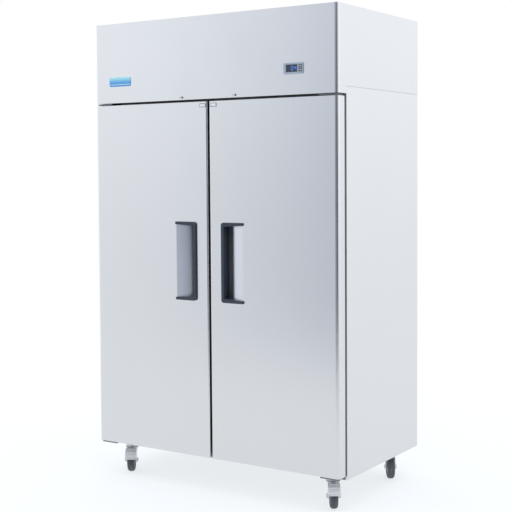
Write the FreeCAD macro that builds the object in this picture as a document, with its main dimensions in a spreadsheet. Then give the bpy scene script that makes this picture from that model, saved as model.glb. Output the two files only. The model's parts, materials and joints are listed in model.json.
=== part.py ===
"""Two-door reach-in refrigerator on castors, with its cooling unit on top.

Millimetres. +X is the right-hand side seen from the front, +Y the back, +Z up. The origin lies on
the floor, midway between the sides and midway between the handles' front and the back panel.
"""
import FreeCAD, Part
import math
import os
import re

import Sketcher
from FreeCAD import Placement, Rotation, Vector

doc = FreeCAD.newDocument("ReachInRefrigerator")
sheet = doc.addObject("Spreadsheet::Sheet", "Dimensions")

DIMENSIONS = (
    ("CabinetWidth", 1200, "over the side panels"),
    ("CabinetDepth", 700, "door fronts to back panel"),
    ("GripProud", 8, "handle lip in front of the door"),
    ("BodyBottom", 125, "underside of the cabinet, the castors' height"),
    ("BodyTop", 1641, "top deck, where the housing starts"),
    ("HousingTop", 1951, "overall height"),
    ("HousingSeam", 1, "joint between the housing's sides and the cabinet's"),
    ("FasciaBottom", 1614, "lower edge of the fascia"),
    ("DoorBottom", 143, "lower edge of the doors"),
    ("DoorTop", 1604, "upper edge of the doors"),
    ("DoorThick", 50, "door front to its liner"),
    ("CentreGap", 10, "between the two doors"),
    ("GasketGap", 16, "door liner to cabinet front"),
    ("WallThick", 55, "insulated walls"),
    ("SheetThick", 1.2, "stainless sheet of cabinet and housing"),
    ("SkinThick", 1, "stainless sheet of the doors"),
    ("BendRadius", 14, "bends at the outer front corners"),
    ("EdgeRadius", 6, "bends at the doors' meeting edges"),
    ("ReturnWidth", 25, "side panels' front and rear returns"),
    ("HemWidth", 20, "inward hem round the housing's top"),
    ("MullionWidth", 60, "post between the doors"),
    ("MullionDepth", 52, "depth of post and header"),
    ("HeaderDrop", 27, "header below the inner ceiling"),
    ("GasketWidth", 22, "magnetic gasket"),
    ("GasketInset", 3, "gasket inside the door's meeting, top and bottom edges"),
    ("HingeInset", 22, "hinge axis from the door's outer edge and from its front"),
    ("PinRadius", 5, "hinge pins"),
    ("PinClearance", 0.05, "radial running clearance of pins and axles"),
    ("BushRadius", 8, "outside of the hinge bushes"),
    ("PinReach", 22, "hinge pin inside the door"),
    ("GripInner", 64, "handle's inner edge from the cabinet's centre"),
    ("GripWidth", 102, "handle over all"),
    ("GripTall", 324, "handle over all"),
    ("GripMiddle", 952, "height of the handle's middle"),
    ("GripDepth", 39, "handle tray behind the door front"),
    ("LipWidth", 13, "bar that the fingers hook behind"),
    ("ArmThick", 16, "handle ends beside the bar"),
    ("ArmTip", 10.5, "handle ends at their tips"),
    ("ShelfGap", 340, "between shelves"),
    ("ShelfFirst", 416, "underside of the lowest shelf"),
    ("ShelfRod", 3.2, "radius of a shelf's frame rod"),
    ("ShelfWire", 1.8, "radius of a shelf's wires"),
    ("ShelfCentre", 272, "middle of each column of shelves from the cabinet's centre"),
    ("ShelfHalf", 258, "half a shelf's width"),
    ("ShelfFront", -216, "front rod of a shelf"),
    ("ShelfRear", 288, "rear rod of a shelf"),
    ("ShelfWires", 23, "wires in a shelf"),
    ("WheelRadius", 50, "castor wheels"),
    ("WheelWidth", 32, "castor wheels"),
    ("CastorTrail", 36, "wheel axle behind the swivel axis"),
    ("CastorTurn", 33, "degrees that the castors are swivelled"),
    ("CastorSpread", 510, "swivel axes from the centre"),
    ("CastorFront", -233, "front swivel axes"),
    ("CastorRear", 264, "rear swivel axes"),
    ("AxleRadius", 6, "castor axles"),
    ("TreadRadius", 12, "rounding of the castors' treads"),
    ("PedalLow", 22, "degrees above level at which the brake pedal starts"),
    ("PedalAngle", 51, "degrees of arc of the brake pedal"),
    ("ControllerLeft", 362, "controller's left edge"),
    ("ControllerBottom", 1693, "controller's lower edge"),
    ("ControllerWide", 88, "controller bezel"),
    ("ControllerTall", 43, "controller bezel"),
    ("FastenerX", 132, "fascia's turn latches from the centre"),
    ("BadgeLeft", -517, "name plate's left edge"),
    ("BadgeBottom", 1684, "name plate's lower edge"),
    ("CompressorRadius", 85, "compressor shell"),
    ("CompressorTall", 185, "compressor shell"),
    ("CondenserFanRadius", 98, "condenser fan"),
    ("CondenserX", -230, "middle of the condenser and its fan"),
    ("CondenserZ", 127, "condenser's middle above the deck"),
    ("MotorFront", -118, "front of the condenser fan's motor"),
    ("EvaporatorFanRadius", 80, "evaporator fan"),
    ("EvaporatorFanY", 60, "evaporator fan's axis"),
    ("EvaporatorDrop", 98, "evaporator cover below the ceiling"),
    ("EvaporatorHalf", 230, "half the evaporator cover's width"),
    ("EvaporatorFront", -60, "evaporator cover's front"),
    ("EvaporatorRear", 285, "evaporator cover's rear"),
)
for row, (alias, value, note) in enumerate(DIMENSIONS, start=1):
    sheet.set(f"A{row}", alias)
    sheet.set(f"B{row}", str(value))
    sheet.setAlias(f"B{row}", alias)
    sheet.set(f"C{row}", note)
doc.recompute()

# Planes that many pieces share, as expressions of the driving dimensions.
SIDE = "(CabinetWidth / 2)"
BACK = "((CabinetDepth + GripProud) / 2)"
FRONT = f"({BACK} - CabinetDepth)"
DOOR_REAR = f"({FRONT} + DoorThick)"
BODY_FRONT = f"({DOOR_REAR} + GasketGap)"
INNER_SIDE = f"({SIDE} - WallThick)"
INNER_BACK = f"({BACK} - WallThick)"
INNER_FLOOR = "(BodyBottom + WallThick)"
INNER_TOP = "(BodyTop - WallThick + 2)"
OPENING_TOP = f"({INNER_TOP} - HeaderDrop)"
HINGE_X = f"({SIDE} - HingeInset)"
HINGE_Y = f"({FRONT} + HingeInset)"
SIDES = (("left", -1), ("right", 1))
CORNERS = (
    ("front_left", -1, "CastorFront"),
    ("front_right", 1, "CastorFront"),
    ("rear_left", -1, "CastorRear"),
    ("rear_right", 1, "CastorRear"),
)
BUTTONS = (("power", 0, 1), ("set", 1, 1), ("up", 0, 0), ("down", 1, 0))

nodes = []


def number(name):
    """The driving dimension of that name, as a plain number."""
    return float(getattr(sheet, name))


def bound(text):
    """The expression with every dimension's name pointed at the sheet."""
    return re.sub(r"[A-Z][A-Za-z]+", lambda found: "Dimensions." + found.group(), text)


def mirrored(side, low, high):
    """The pair low..high on that side of the middle plane, in rising order."""
    if side > 0:
        return low, high
    return f"-({high})", f"-({low})"


def node(piece):
    """Keep the piece as a node of the finished object."""
    nodes.append(piece)
    return piece


def block(label, x, y, z):
    """A box between three pairs of expressions."""
    box = doc.addObject("Part::Box", label)
    for extent, axis, (low, high) in zip(("Length", "Width", "Height"), "xyz", (x, y, z)):
        box.setExpression(extent, bound(f"({high}) - ({low})"))
        box.setExpression(f".Placement.Base.{axis}", bound(low))
    return box


def rod(label, centre, radius, length, turn=None):
    """A cylinder from the centre, along +Z unless a rotation turns it."""
    cylinder = doc.addObject("Part::Cylinder", label)
    if turn is not None:
        cylinder.Placement = Placement(Vector(), turn)
    cylinder.setExpression("Radius", bound(radius))
    cylinder.setExpression("Height", bound(length))
    for axis, place in zip("xyz", centre):
        cylinder.setExpression(f".Placement.Base.{axis}", bound(place))
    return cylinder


def group(label, members):
    """Separate solids kept together in one node."""
    compound = doc.addObject("Part::Compound", label)
    compound.Links = members
    return compound


def fused(label, members):
    """The members as one solid."""
    union = doc.addObject("Part::MultiFuse", label)
    union.Shapes = members
    union.Refine = True
    return union


def cut(label, base, tool):
    """The base less the tool."""
    difference = doc.addObject("Part::Cut", label)
    difference.Base = base
    difference.Tool = tool
    return difference


def shaped(label, shape, place=None):
    """A piece whose shape is computed here, then placed."""
    feature = doc.addObject("Part::Feature", label)
    feature.Shape = shape
    if place is not None:
        feature.Placement = place
    return feature


def new_body(label, base=("0", "0", "0"), turn=None):
    """A body whose placement is bound to the sheet."""
    body = doc.addObject("PartDesign::Body", label)
    if turn is not None:
        body.Placement = Placement(Vector(), turn)
    for axis, place in zip("xyz", base):
        body.setExpression(f".Placement.Base.{axis}", bound(place))
    return body


def new_sketch(body, role, offset="0"):
    """A sketch on one of the body's own planes, moved along the plane's normal."""
    plane = next(item for item in body.Origin.OriginFeatures if item.Role == role)
    sketch = body.newObject("Sketcher::SketchObject", f"{body.Name}_sketch")
    sketch.AttachmentSupport = [(plane, "")]
    sketch.MapMode = "FlatFace"
    sketch.setExpression(".AttachmentOffset.Base.z", bound(offset))
    return sketch


def hold(sketch, geometry, point, place):
    """Fix a point of the sketch at a pair of expressions."""
    for kind, value in zip(("DistanceX", "DistanceY"), place):
        index = sketch.addConstraint(Sketcher.Constraint(kind, -1, 1, geometry, point, 1.0))
        sketch.setExpression(f"Constraints[{index}]", bound(value))


def polygon(sketch, points):
    """A closed outline through the points, each a pair of expressions."""
    count = len(points)
    first = sketch.GeometryCount
    spread = [Vector(math.cos(2 * math.pi * i / count), math.sin(2 * math.pi * i / count), 0)
              for i in range(count)]
    for i in range(count):
        sketch.addGeometry(Part.LineSegment(spread[i], spread[(i + 1) % count]), False)
    for i in range(count):
        following = first + (i + 1) % count
        sketch.addConstraint(Sketcher.Constraint("Coincident", first + i, 2, following, 1))
    for i, place in enumerate(points):
        hold(sketch, first + i, 1, place)


def rectangle(sketch, x, y):
    """A closed rectangle between two pairs of expressions."""
    polygon(sketch, [(x[0], y[0]), (x[1], y[0]), (x[1], y[1]), (x[0], y[1])])


def circle(sketch, centre, radius):
    """A circle with its centre and radius bound."""
    index = sketch.addGeometry(Part.Circle(Vector(1, 1, 0), Vector(0, 0, 1), 1.0), False)
    hold(sketch, index, 3, centre)
    size = sketch.addConstraint(Sketcher.Constraint("Radius", index, 1.0))
    sketch.setExpression(f"Constraints[{size}]", bound(radius))


def pad(body, sketch, length, backwards=False):
    """Raise the sketch into the body."""
    feature = body.newObject("PartDesign::Pad", f"{body.Name}_pad")
    feature.Profile = sketch
    feature.Reversed = backwards
    feature.setExpression("Length", bound(length))
    doc.recompute()
    return feature


def pocket(body, sketch, length, backwards=False):
    """Cut the sketch out of the body, and make sure that it removed material."""
    before = body.Shape.Volume
    feature = body.newObject("PartDesign::Pocket", f"{body.Name}_pocket")
    feature.Profile = sketch
    feature.Reversed = backwards
    feature.setExpression("Length", bound(length))
    doc.recompute()
    if body.Shape.Volume > before - 0.01:
        raise ValueError(f"a pocket in {body.Label} removes nothing")
    return feature


def rounded(body, radius, wanted):
    """Round the edges of the body's last feature that wanted() picks."""
    base = body.Tip
    names = [f"Edge{i}" for i, edge in enumerate(base.Shape.Edges, start=1) if wanted(edge)]
    feature = body.newObject("PartDesign::Fillet", f"{body.Name}_round")
    feature.Base = (base, names)
    feature.setExpression("Radius", bound(radius))
    doc.recompute()
    return feature


def hollowed(body, wall, wanted):
    """Shell the body inwards, leaving the faces that wanted() picks open."""
    base = body.Tip
    names = [f"Face{i}" for i, face in enumerate(base.Shape.Faces, start=1) if wanted(face)]
    feature = body.newObject("PartDesign::Thickness", f"{body.Name}_shell")
    feature.Base = (base, names)
    feature.Reversed = True
    feature.setExpression("Value", bound(wall))
    doc.recompute()
    if body.Shape.BoundBox.XLength > base.Shape.BoundBox.XLength + 0.01:
        raise ValueError(f"the shell of {body.Label} grows outwards")
    return feature


def along(edge, axis):
    """Whether the edge is straight and runs along the axis X, Y or Z."""
    box = edge.BoundBox
    lengths = {"X": box.XLength, "Y": box.YLength, "Z": box.ZLength}
    return lengths[axis] > 0.5 and sum(lengths.values()) - lengths[axis] < 1e-6


def sweep(points, radius, bend):
    """A round tube or wire along straight runs joined by arcs of one bend radius."""
    path = []
    start = points[0]
    for here, after in zip(points[1:-1], points[2:]):
        arriving = (here - start).normalize()
        leaving = (after - here).normalize()
        turn = arriving.getAngle(leaving)
        setback = bend * math.tan(turn / 2)
        enter = here - arriving * setback
        leave = here + leaving * setback
        inward = (leaving - arriving).normalize()
        middle = here + inward * (bend / math.cos(turn / 2) - bend)
        path.append(Part.LineSegment(start, enter).toShape())
        path.append(Part.Arc(enter, middle, leave).toShape())
        start = leave
    path.append(Part.LineSegment(start, points[-1]).toShape())
    profile = Part.Wire(Part.makeCircle(radius, points[0], points[1] - points[0]))
    return Part.Wire(path).makePipeShell([profile], True, True)


# ---------------------------------------------------------------- cabinet

def side_panel(name, side):
    """Outer side sheet, folded inwards at the front and the back."""
    body = new_body(f"side_panel_{name}", ("0", "0", "BodyBottom"))
    inner = f"({SIDE} - SheetThick)"
    edge = f"({SIDE} - ReturnWidth)"
    outline = [
        (edge, BODY_FRONT), (SIDE, BODY_FRONT), (SIDE, BACK), (edge, BACK),
        (edge, f"{BACK} - SheetThick"), (inner, f"{BACK} - SheetThick"),
        (inner, f"{BODY_FRONT} + SheetThick"), (edge, f"{BODY_FRONT} + SheetThick"),
    ]
    sketch = new_sketch(body, "XY_Plane")
    polygon(sketch, [(f"{side} * {x}", y) for x, y in outline])
    pad(body, sketch, "BodyTop - BodyBottom")
    reach = number("CabinetWidth") / 2 - 0.01
    rounded(body, "1", lambda edge: along(edge, "Z") and abs(edge.CenterOfMass.x) > reach)
    return node(body)


def cabinet_shell():
    """Back, bottom and top sheets between the side panels."""
    inside = (f"-{SIDE} + SheetThick", f"{SIDE} - SheetThick")
    between = (f"-{SIDE} + ReturnWidth", f"{SIDE} - ReturnWidth")
    depth = (f"{BODY_FRONT} + SheetThick", f"{BACK} - SheetThick")
    node(block("back_panel", between, (f"{BACK} - SheetThick", BACK), ("BodyBottom", "BodyTop")))
    node(group("deck_panels", [
        block("base_sheet", inside, depth, ("BodyBottom", "BodyBottom + 2")),
        block("top_sheet", inside, depth, ("BodyTop - SheetThick", "BodyTop")),
    ]))


def insulation():
    """Foam between the sheets and the liner, one block to a wall."""
    lined = f"({INNER_SIDE} + SheetThick)"
    outer = f"({SIDE} - SheetThick)"
    depth = (f"{BODY_FRONT} + SheetThick", f"{BACK} - SheetThick")
    full = ("BodyBottom + 2", "BodyTop - SheetThick")
    inner = (f"{INNER_FLOOR} - SheetThick", f"{INNER_TOP} + SheetThick")
    node(group("foam_insulation", [
        block("foam_left", (f"-{outer}", f"-{lined}"), depth, full),
        block("foam_right", (lined, outer), depth, full),
        block("foam_bottom", (f"-{lined}", lined), depth, (full[0], inner[0])),
        block("foam_top", (f"-{lined}", lined), depth, (inner[1], full[1])),
        block("foam_back", (f"-{lined}", lined), (f"{INNER_BACK} + SheetThick", depth[1]), inner),
    ]))


def liner():
    """Stainless food compartment, one sheet to a wall."""
    lined = f"({INNER_SIDE} + SheetThick)"
    depth = (f"{BODY_FRONT} + SheetThick", f"{INNER_BACK} + SheetThick")
    low = f"{INNER_FLOOR} - SheetThick"
    high = f"{INNER_TOP} + SheetThick"
    across = (f"-{INNER_SIDE}", INNER_SIDE)
    node(group("inner_liner", [
        block("liner_left", (f"-{lined}", f"-{INNER_SIDE}"), depth, (low, high)),
        block("liner_right", (INNER_SIDE, lined), depth, (low, high)),
        block("liner_floor", across, depth, (low, INNER_FLOOR)),
        block("liner_ceiling", across, depth, (INNER_TOP, high)),
        block("liner_rear", across, (INNER_BACK, depth[1]), (INNER_FLOOR, INNER_TOP)),
    ]))


def door_frame():
    """Breaker strips round the opening with the header behind, and the post between the doors."""
    face = (BODY_FRONT, f"{BODY_FRONT} + SheetThick")
    behind = (face[1], f"{BODY_FRONT} + MullionDepth")
    outer = f"({SIDE} - ReturnWidth)"
    upright = (INNER_FLOOR, OPENING_TOP)
    node(group("face_frame", [
        block("strip_left", (f"-{outer}", f"-{INNER_SIDE}"), face, upright),
        block("strip_right", (INNER_SIDE, outer), face, upright),
        block("strip_bottom", (f"-{outer}", outer), face, ("BodyBottom", INNER_FLOOR)),
        block("strip_top", (f"-{outer}", outer), face, (OPENING_TOP, "BodyTop")),
        block("header", (f"-{INNER_SIDE}", INNER_SIDE), behind, (OPENING_TOP, INNER_TOP)),
    ]))
    post = new_body("mullion", ("0", "0", INNER_FLOOR))
    sketch = new_sketch(post, "XY_Plane")
    rectangle(sketch, ("-MullionWidth / 2", "MullionWidth / 2"),
              (BODY_FRONT, f"{BODY_FRONT} + MullionDepth"))
    pad(post, sketch, f"{OPENING_TOP} - {INNER_FLOOR}")
    middle = post.Shape.BoundBox.Center.y
    rounded(post, "4", lambda edge: along(edge, "Z") and edge.CenterOfMass.y > middle)
    node(post)


# ---------------------------------------------------------------- inside

def shelf_heights():
    """The undersides of the shelves, as expressions."""
    return [f"(ShelfFirst + {level} * ShelfGap)" for level in range(3)]


def pilaster_places():
    """Each shelf support strip: its x and y ranges, and its clips' x and y ranges."""
    places = []
    for side in (-1, 1):
        for low in ("-230", "240"):
            wall = mirrored(side, f"{INNER_SIDE} - 8", INNER_SIDE)
            hook = mirrored(side, f"{INNER_SIDE} - 18", f"{INNER_SIDE} - 8")
            along_y = (low, f"{low} + 22")
            places.append((wall, along_y, hook, along_y))
        strip = mirrored(side, "6", "26")
        post_rear = f"({BODY_FRONT} + MullionDepth)"
        places.append((strip, (post_rear, f"{post_rear} + 8"),
                       strip, (f"{post_rear} + 8", f"{post_rear} + 20")))
        places.append((strip, (f"{INNER_BACK} - 8", INNER_BACK),
                       strip, (f"{INNER_BACK} - 20", f"{INNER_BACK} - 8")))
    return places


def shelf_supports():
    """Upright strips on walls and post, and a clip on each for every shelf."""
    strips = []
    clips = []
    for strip_x, strip_y, clip_x, clip_y in pilaster_places():
        height = (f"{INNER_FLOOR} + 30", f"{INNER_TOP} - 120")
        strips.append(block("pilaster", strip_x, strip_y, height))
        for shelf in shelf_heights():
            clips.append(block("clip", clip_x, clip_y, (f"{shelf} - 12", shelf)))
    node(group("shelf_pilasters", strips))
    node(group("shelf_clips", clips))


def wire_shelf():
    """One shelf: a bent rod frame, three cross bars and wires running front to back."""
    rod_radius = number("ShelfRod")
    wire_radius = number("ShelfWire")
    half = number("ShelfHalf")
    front = number("ShelfFront")
    rear = number("ShelfRear")
    margin = 20
    edge = [Vector(0, front, rod_radius), Vector(half, front, rod_radius),
            Vector(half, rear, rod_radius), Vector(-half, rear, rod_radius),
            Vector(-half, front, rod_radius), Vector(0, front, rod_radius)]
    frame = sweep(edge, rod_radius, 16)
    pieces = []
    for y in (front + 120, (front + rear) / 2, rear - 120):
        pieces.append(Part.makeCylinder(rod_radius - 0.2, 2 * half, Vector(-half, y, rod_radius),
                                        Vector(1, 0, 0)))
    wires = int(number("ShelfWires"))
    pitch = 2 * (half - margin) / (wires - 1)
    weld_depth = wire_radius / 2
    height = 2 * rod_radius + wire_radius - weld_depth
    for i in range(wires):
        start = Vector(-half + margin + i * pitch, front - 1, height)
        pieces.append(Part.makeCylinder(wire_radius, rear - front + 2, start, Vector(0, 1, 0)))
    return frame.fuse(pieces)


def shelves():
    """Three shelves on each side of the middle."""
    shelf = wire_shelf()
    copies = []
    for side in (-1, 1):
        for level in range(3):
            height = number("ShelfFirst") + level * number("ShelfGap")
            copies.append(shelf.translated(Vector(side * number("ShelfCentre"), 0, height)))
    node(shaped("wire_shelves", Part.makeCompound(copies)))


def fan_rotor(radius, hub_radius, hub_length, blades):
    """A fan about +Z: a hub and pitched blades."""
    rotor = Part.makeCylinder(hub_radius, hub_length, Vector(0, 0, -hub_length / 2))
    rotor = rotor.makeFillet(2, [edge for edge in rotor.Edges if len(edge.Vertexes) == 1])
    for i in range(blades):
        spread = math.radians(24)
        root = hub_radius - 3
        inner = [Vector(root * math.cos(a), root * math.sin(a), -1) for a in (-spread, 0, spread)]
        outer = [Vector(radius * math.cos(a), radius * math.sin(a), -1)
                 for a in (-spread, 0, spread)]
        outline = Part.Wire([
            Part.Arc(*inner).toShape(),
            Part.LineSegment(inner[2], outer[2]).toShape(),
            Part.Arc(*reversed(outer)).toShape(),
            Part.LineSegment(outer[0], inner[0]).toShape(),
        ])
        blade = Part.Face(outline).extrude(Vector(0, 0, 2))
        blade.rotate(Vector(), Vector(1, 0, 0), 26)
        blade.rotate(Vector(), Vector(0, 0, 1), 360 * i / blades)
        rotor = rotor.fuse(blade)
    return rotor


def evaporator():
    """Punched cover under the ceiling, with the finned coil and the fan inside."""
    low = f"({INNER_TOP} - EvaporatorDrop)"
    across = ("-EvaporatorHalf", "EvaporatorHalf")
    depth = ("EvaporatorFront", "EvaporatorRear")
    cover = new_body("evaporator_cover", ("0", "0", low))
    sketch = new_sketch(cover, "XY_Plane")
    rectangle(sketch, across, depth)
    pad(cover, sketch, "EvaporatorDrop")
    rounded(cover, "10", lambda edge: along(edge, "Z"))
    hollow = new_sketch(cover, "XY_Plane", "SheetThick")
    rectangle(hollow, (f"{across[0]} + SheetThick", f"{across[1]} - SheetThick"),
              (f"{depth[0]} + SheetThick", f"{depth[1]} - SheetThick"))
    pocket(cover, hollow, "EvaporatorDrop", True)
    grille = new_sketch(cover, "XY_Plane")
    reach = number("EvaporatorFanRadius") + 4
    pitch = 12
    slot = 7
    for line in range(-6, 7):
        half = math.sqrt(reach ** 2 - (pitch * line) ** 2)
        middle = f"EvaporatorFanY + {pitch * line}"
        rectangle(grille, (f"-{half:.1f}", f"{half:.1f}"),
                  (f"{middle} - {slot / 2}", f"{middle} + {slot / 2}"))
    pocket(cover, grille, "SheetThick", True)
    node(cover)
    coil = [block("fins", ("-190", "190"), ("160", "262"), (f"{low} + 10", f"{INNER_TOP} - 10"))]
    for side in (-1, 1):
        for row in range(3):
            centre = (f"{side} * 190", f"{175 + 34 * row}", f"{low} + 48")
            turn = Rotation(Vector(0, 1, 0), 90 * side)
            coil.append(rod("coil_bend", centre, "6", "16", turn))
    node(fused("evaporator_coil", coil))
    rotor = fan_rotor(number("EvaporatorFanRadius"), 22, 26, 5)
    fan = shaped("evaporator_fan", rotor)
    fan.setExpression(".Placement.Base.y", bound("EvaporatorFanY"))
    fan.setExpression(".Placement.Base.z", bound(f"{low} + 30"))
    node(fan)


# ---------------------------------------------------------------- top housing

def top_housing():
    """Folded sheet: the fascia, both sides, a ledge over the doors and a hem round the top."""
    body = new_body("top_housing", ("0", "0", "FasciaBottom"))
    outline = new_sketch(body, "XY_Plane")
    rectangle(outline, (f"-{SIDE}", SIDE), (FRONT, BACK))
    pad(body, outline, "HousingTop - FasciaBottom")
    rounded(body, "BendRadius", lambda edge: along(edge, "Z") and edge.CenterOfMass.y < 0)
    rear = body.Shape.BoundBox.YMax - 0.1
    hollowed(body, "SheetThick", lambda face: face.BoundBox.YMin > rear)
    below = new_sketch(body, "XY_Plane")
    rectangle(below, (f"-{SIDE} - 5", f"{SIDE} + 5"), (BODY_FRONT, f"{BACK} + 5"))
    pocket(body, below, "BodyTop + HousingSeam - FasciaBottom", True)
    above = new_sketch(body, "XY_Plane", "HousingTop - FasciaBottom - 5")
    rectangle(above, (f"-{SIDE} + HemWidth", f"{SIDE} - HemWidth"),
              (f"{FRONT} + HemWidth", f"{BACK} + 5"))
    pocket(body, above, "10", True)
    return node(body)


def housing_back():
    """Louvred sheet behind the cooling unit, with the cable's gland."""
    body = new_body("housing_back", ("0", BACK, "0"))
    outline = new_sketch(body, "XZ_Plane")
    rectangle(outline, (f"-{SIDE} + SheetThick", f"{SIDE} - SheetThick"),
              ("BodyTop", "HousingTop - 12"))
    pad(body, outline, "SheetThick")
    louvre = new_sketch(body, "XZ_Plane")
    for row in range(8):
        for column in (-3, -1, 1, 3):
            low = f"BodyTop + {60 + 24 * row}"
            rectangle(louvre, (f"{115 * column} - 95", f"{115 * column} + 95"), (low, f"{low} + 8"))
    circle(louvre, ("-540", "BodyTop + 40"), "10.5")
    pocket(body, louvre, "SheetThick", True)
    node(body)
    gland = Rotation(Vector(1, 0, 0), 90)
    lock = rod("gland_nut", ("-540", f"{BACK} - SheetThick", "BodyTop + 40"), "14", "8", gland)
    stem = rod("gland_stem", ("-540", BACK, "BodyTop + 40"), "10", "14", gland)
    bore = rod("gland_bore", ("-540", f"{BACK} + 1", "BodyTop + 40"), "4", "40", gland)
    node(cut("cable_gland", fused("gland_body", [lock, stem]), bore))


def controller():
    """Bezel, display window and four push buttons on the fascia."""
    right = "ControllerLeft + ControllerWide"
    bezel = new_body("controller_bezel", ("0", FRONT, "0"))
    outline = new_sketch(bezel, "XZ_Plane")
    rectangle(outline, ("ControllerLeft", right),
              ("ControllerBottom", "ControllerBottom + ControllerTall"))
    pad(bezel, outline, "5")
    rounded(bezel, "6", lambda edge: along(edge, "Y"))
    rounded(bezel, "1.5", lambda edge: edge.BoundBox.YLength < 1e-6
            and abs(edge.BoundBox.YMin) > 4.9)
    window = new_sketch(bezel, "XZ_Plane", "2")
    display = (("ControllerLeft + 12", "ControllerLeft + 64"),
               ("ControllerBottom + 7", "ControllerBottom + 36"))
    rectangle(window, *display)
    pocket(bezel, window, "5", True)
    holes = new_sketch(bezel, "XZ_Plane")
    for _, column, line in BUTTONS:
        rectangle(holes, *button_outline(column, line, 0.3))
    pocket(bezel, holes, "10", True)
    node(bezel)
    node(block("controller_display", display[0], (f"{FRONT} - 4", f"{FRONT} - 2"), display[1]))
    for name, column, line in BUTTONS:
        button = new_body(f"button_{name}", ("0", FRONT, "0"))
        face = new_sketch(button, "XZ_Plane", "2")
        rectangle(face, *button_outline(column, line, 0))
        pad(button, face, "4")
        rounded(button, "0.8", lambda edge: along(edge, "Y"))
        node(button)


def button_outline(column, line, clearance):
    """One push button's x and z ranges, grown by the clearance."""
    left = 69 + 9 * column - clearance
    low = 8 + 15 * line - clearance
    return ((f"ControllerLeft + {left}", f"ControllerLeft + {left + 6 + 2 * clearance}"),
            (f"ControllerBottom + {low}", f"ControllerBottom + {low + 12 + 2 * clearance}"))


def fascia_trim():
    """Blank name plate, and the two small turn latches at the fascia's lower edge."""
    badge = new_body("badge_plate", ("0", FRONT, "0"))
    outline = new_sketch(badge, "XZ_Plane")
    rectangle(outline, ("BadgeLeft", "BadgeLeft + 116"), ("BadgeBottom", "BadgeBottom + 39.5"))
    pad(badge, outline, "2.4")
    rounded(badge, "6", lambda edge: along(edge, "Y"))
    rounded(badge, "0.8", lambda edge: abs(edge.BoundBox.YMin) > 2.3
            and edge.BoundBox.YLength < 1e-6)
    node(badge)
    latches = []
    for side in (-1, 1):
        middle = f"{side} * FastenerX"
        proud = (f"{FRONT} - 1.6", FRONT)
        latches.append(fused("fastener", [
            block("fastener_bar", (f"{middle} - 9", f"{middle} + 9"), proud,
                  ("FasciaBottom + 9", "FasciaBottom + 11.5")),
            block("fastener_wing", (f"{middle} + 1", f"{middle} + 5"), proud,
                  ("FasciaBottom + 5", "FasciaBottom + 15")),
        ]))
    node(group("fascia_fasteners", latches))


def at_height(edge, height):
    """Whether the edge lies flat at that height."""
    box = edge.BoundBox
    return abs(box.ZMin - height) < 0.1 and box.ZLength < 1e-6


def compressor():
    """Hermetic compressor: a domed can on a foot plate."""
    shell = new_body("compressor", ("330", "90", "BodyTop"))
    foot = new_sketch(shell, "XY_Plane")
    rectangle(foot, ("-110", "110"), ("-70", "70"))
    pad(shell, foot, "4")
    rounded(shell, "12", lambda edge: along(edge, "Z"))
    neck = new_sketch(shell, "XY_Plane")
    circle(neck, ("0", "0"), "CompressorRadius * 0.8")
    pad(shell, neck, "30")
    start = 24
    barrel = new_sketch(shell, "XY_Plane", f"{start}")
    circle(barrel, ("0", "0"), "CompressorRadius")
    pad(shell, barrel, f"CompressorTall - {start}")
    top = number("CompressorTall")
    wide = number("CompressorRadius") * 1.9
    rounded(shell, "48", lambda edge: at_height(edge, top))
    rounded(shell, "14", lambda edge: at_height(edge, start) and edge.BoundBox.XLength > wide)
    return node(shell)


def condenser_coil():
    """Finned block between two end plates, with the tube's return bends."""
    fins = block("condenser_fins", ("CondenserX - 200", "CondenserX + 200"), ("-232", "-172"),
                 ("BodyTop + 22", "BodyTop + 232"))
    pieces = [fins]
    for side, turn in ((-1, 90), (1, -90)):
        plate = mirrored(side, "200", "202")
        pieces.append(block("condenser_end", tuple(f"CondenserX + ({x})" for x in plate),
                            ("-238", "-166"), ("BodyTop + 14", "BodyTop + 240")))
        for line in range(5):
            height = number("BodyTop") + 46 + 40 * line
            bend = Part.makeTorus(12, 4.5, Vector(), Vector(0, 0, 1), -180, 180, 180)
            bend.rotate(Vector(), Vector(0, 0, 1), turn)
            bend.translate(Vector(number("CondenserX") + side * 202, -202, height))
            pieces.append(shaped("condenser_bend", bend))
    return node(group("condenser_coil", pieces))


def condenser_fan():
    """Shroud behind the condenser, the fan in its throat and the motor on its stand."""
    shroud = new_body("condenser_shroud", ("CondenserX", "-172", "BodyTop + CondenserZ"))
    outline = new_sketch(shroud, "XZ_Plane")
    rectangle(outline, ("-196", "196"), ("-112", "112"))
    pad(shroud, outline, "46", True)
    inside = new_sketch(shroud, "XZ_Plane")
    rectangle(inside, ("-196 + SheetThick", "196 - SheetThick"),
              ("-112 + SheetThick", "112 - SheetThick"))
    pocket(shroud, inside, "46 - SheetThick")
    throat = new_sketch(shroud, "XZ_Plane")
    circle(throat, ("0", "0"), "CondenserFanRadius + 5")
    pocket(shroud, throat, "60")
    node(shroud)
    facing_back = Rotation(Vector(1, 0, 0), -90)
    rotor = fan_rotor(number("CondenserFanRadius"), 30, 26, 5)
    height = number("BodyTop") + number("CondenserZ")
    centre = Vector(number("CondenserX"), number("MotorFront") - 16, height)
    node(shaped("condenser_fan", rotor, Placement(centre, facing_back)))
    axis = ("CondenserX", "MotorFront", "BodyTop + CondenserZ")
    node(fused("condenser_fan_motor", [
        rod("motor_can", axis, "32", "62", facing_back),
        block("motor_stand", ("CondenserX - 20", "CondenserX + 20"), ("-100", "-70"),
              ("BodyTop", "BodyTop + 110")),
        block("motor_foot", ("CondenserX - 45", "CondenserX + 45"), ("-105", "-65"),
              ("BodyTop", "BodyTop + 3")),
    ]))


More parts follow.
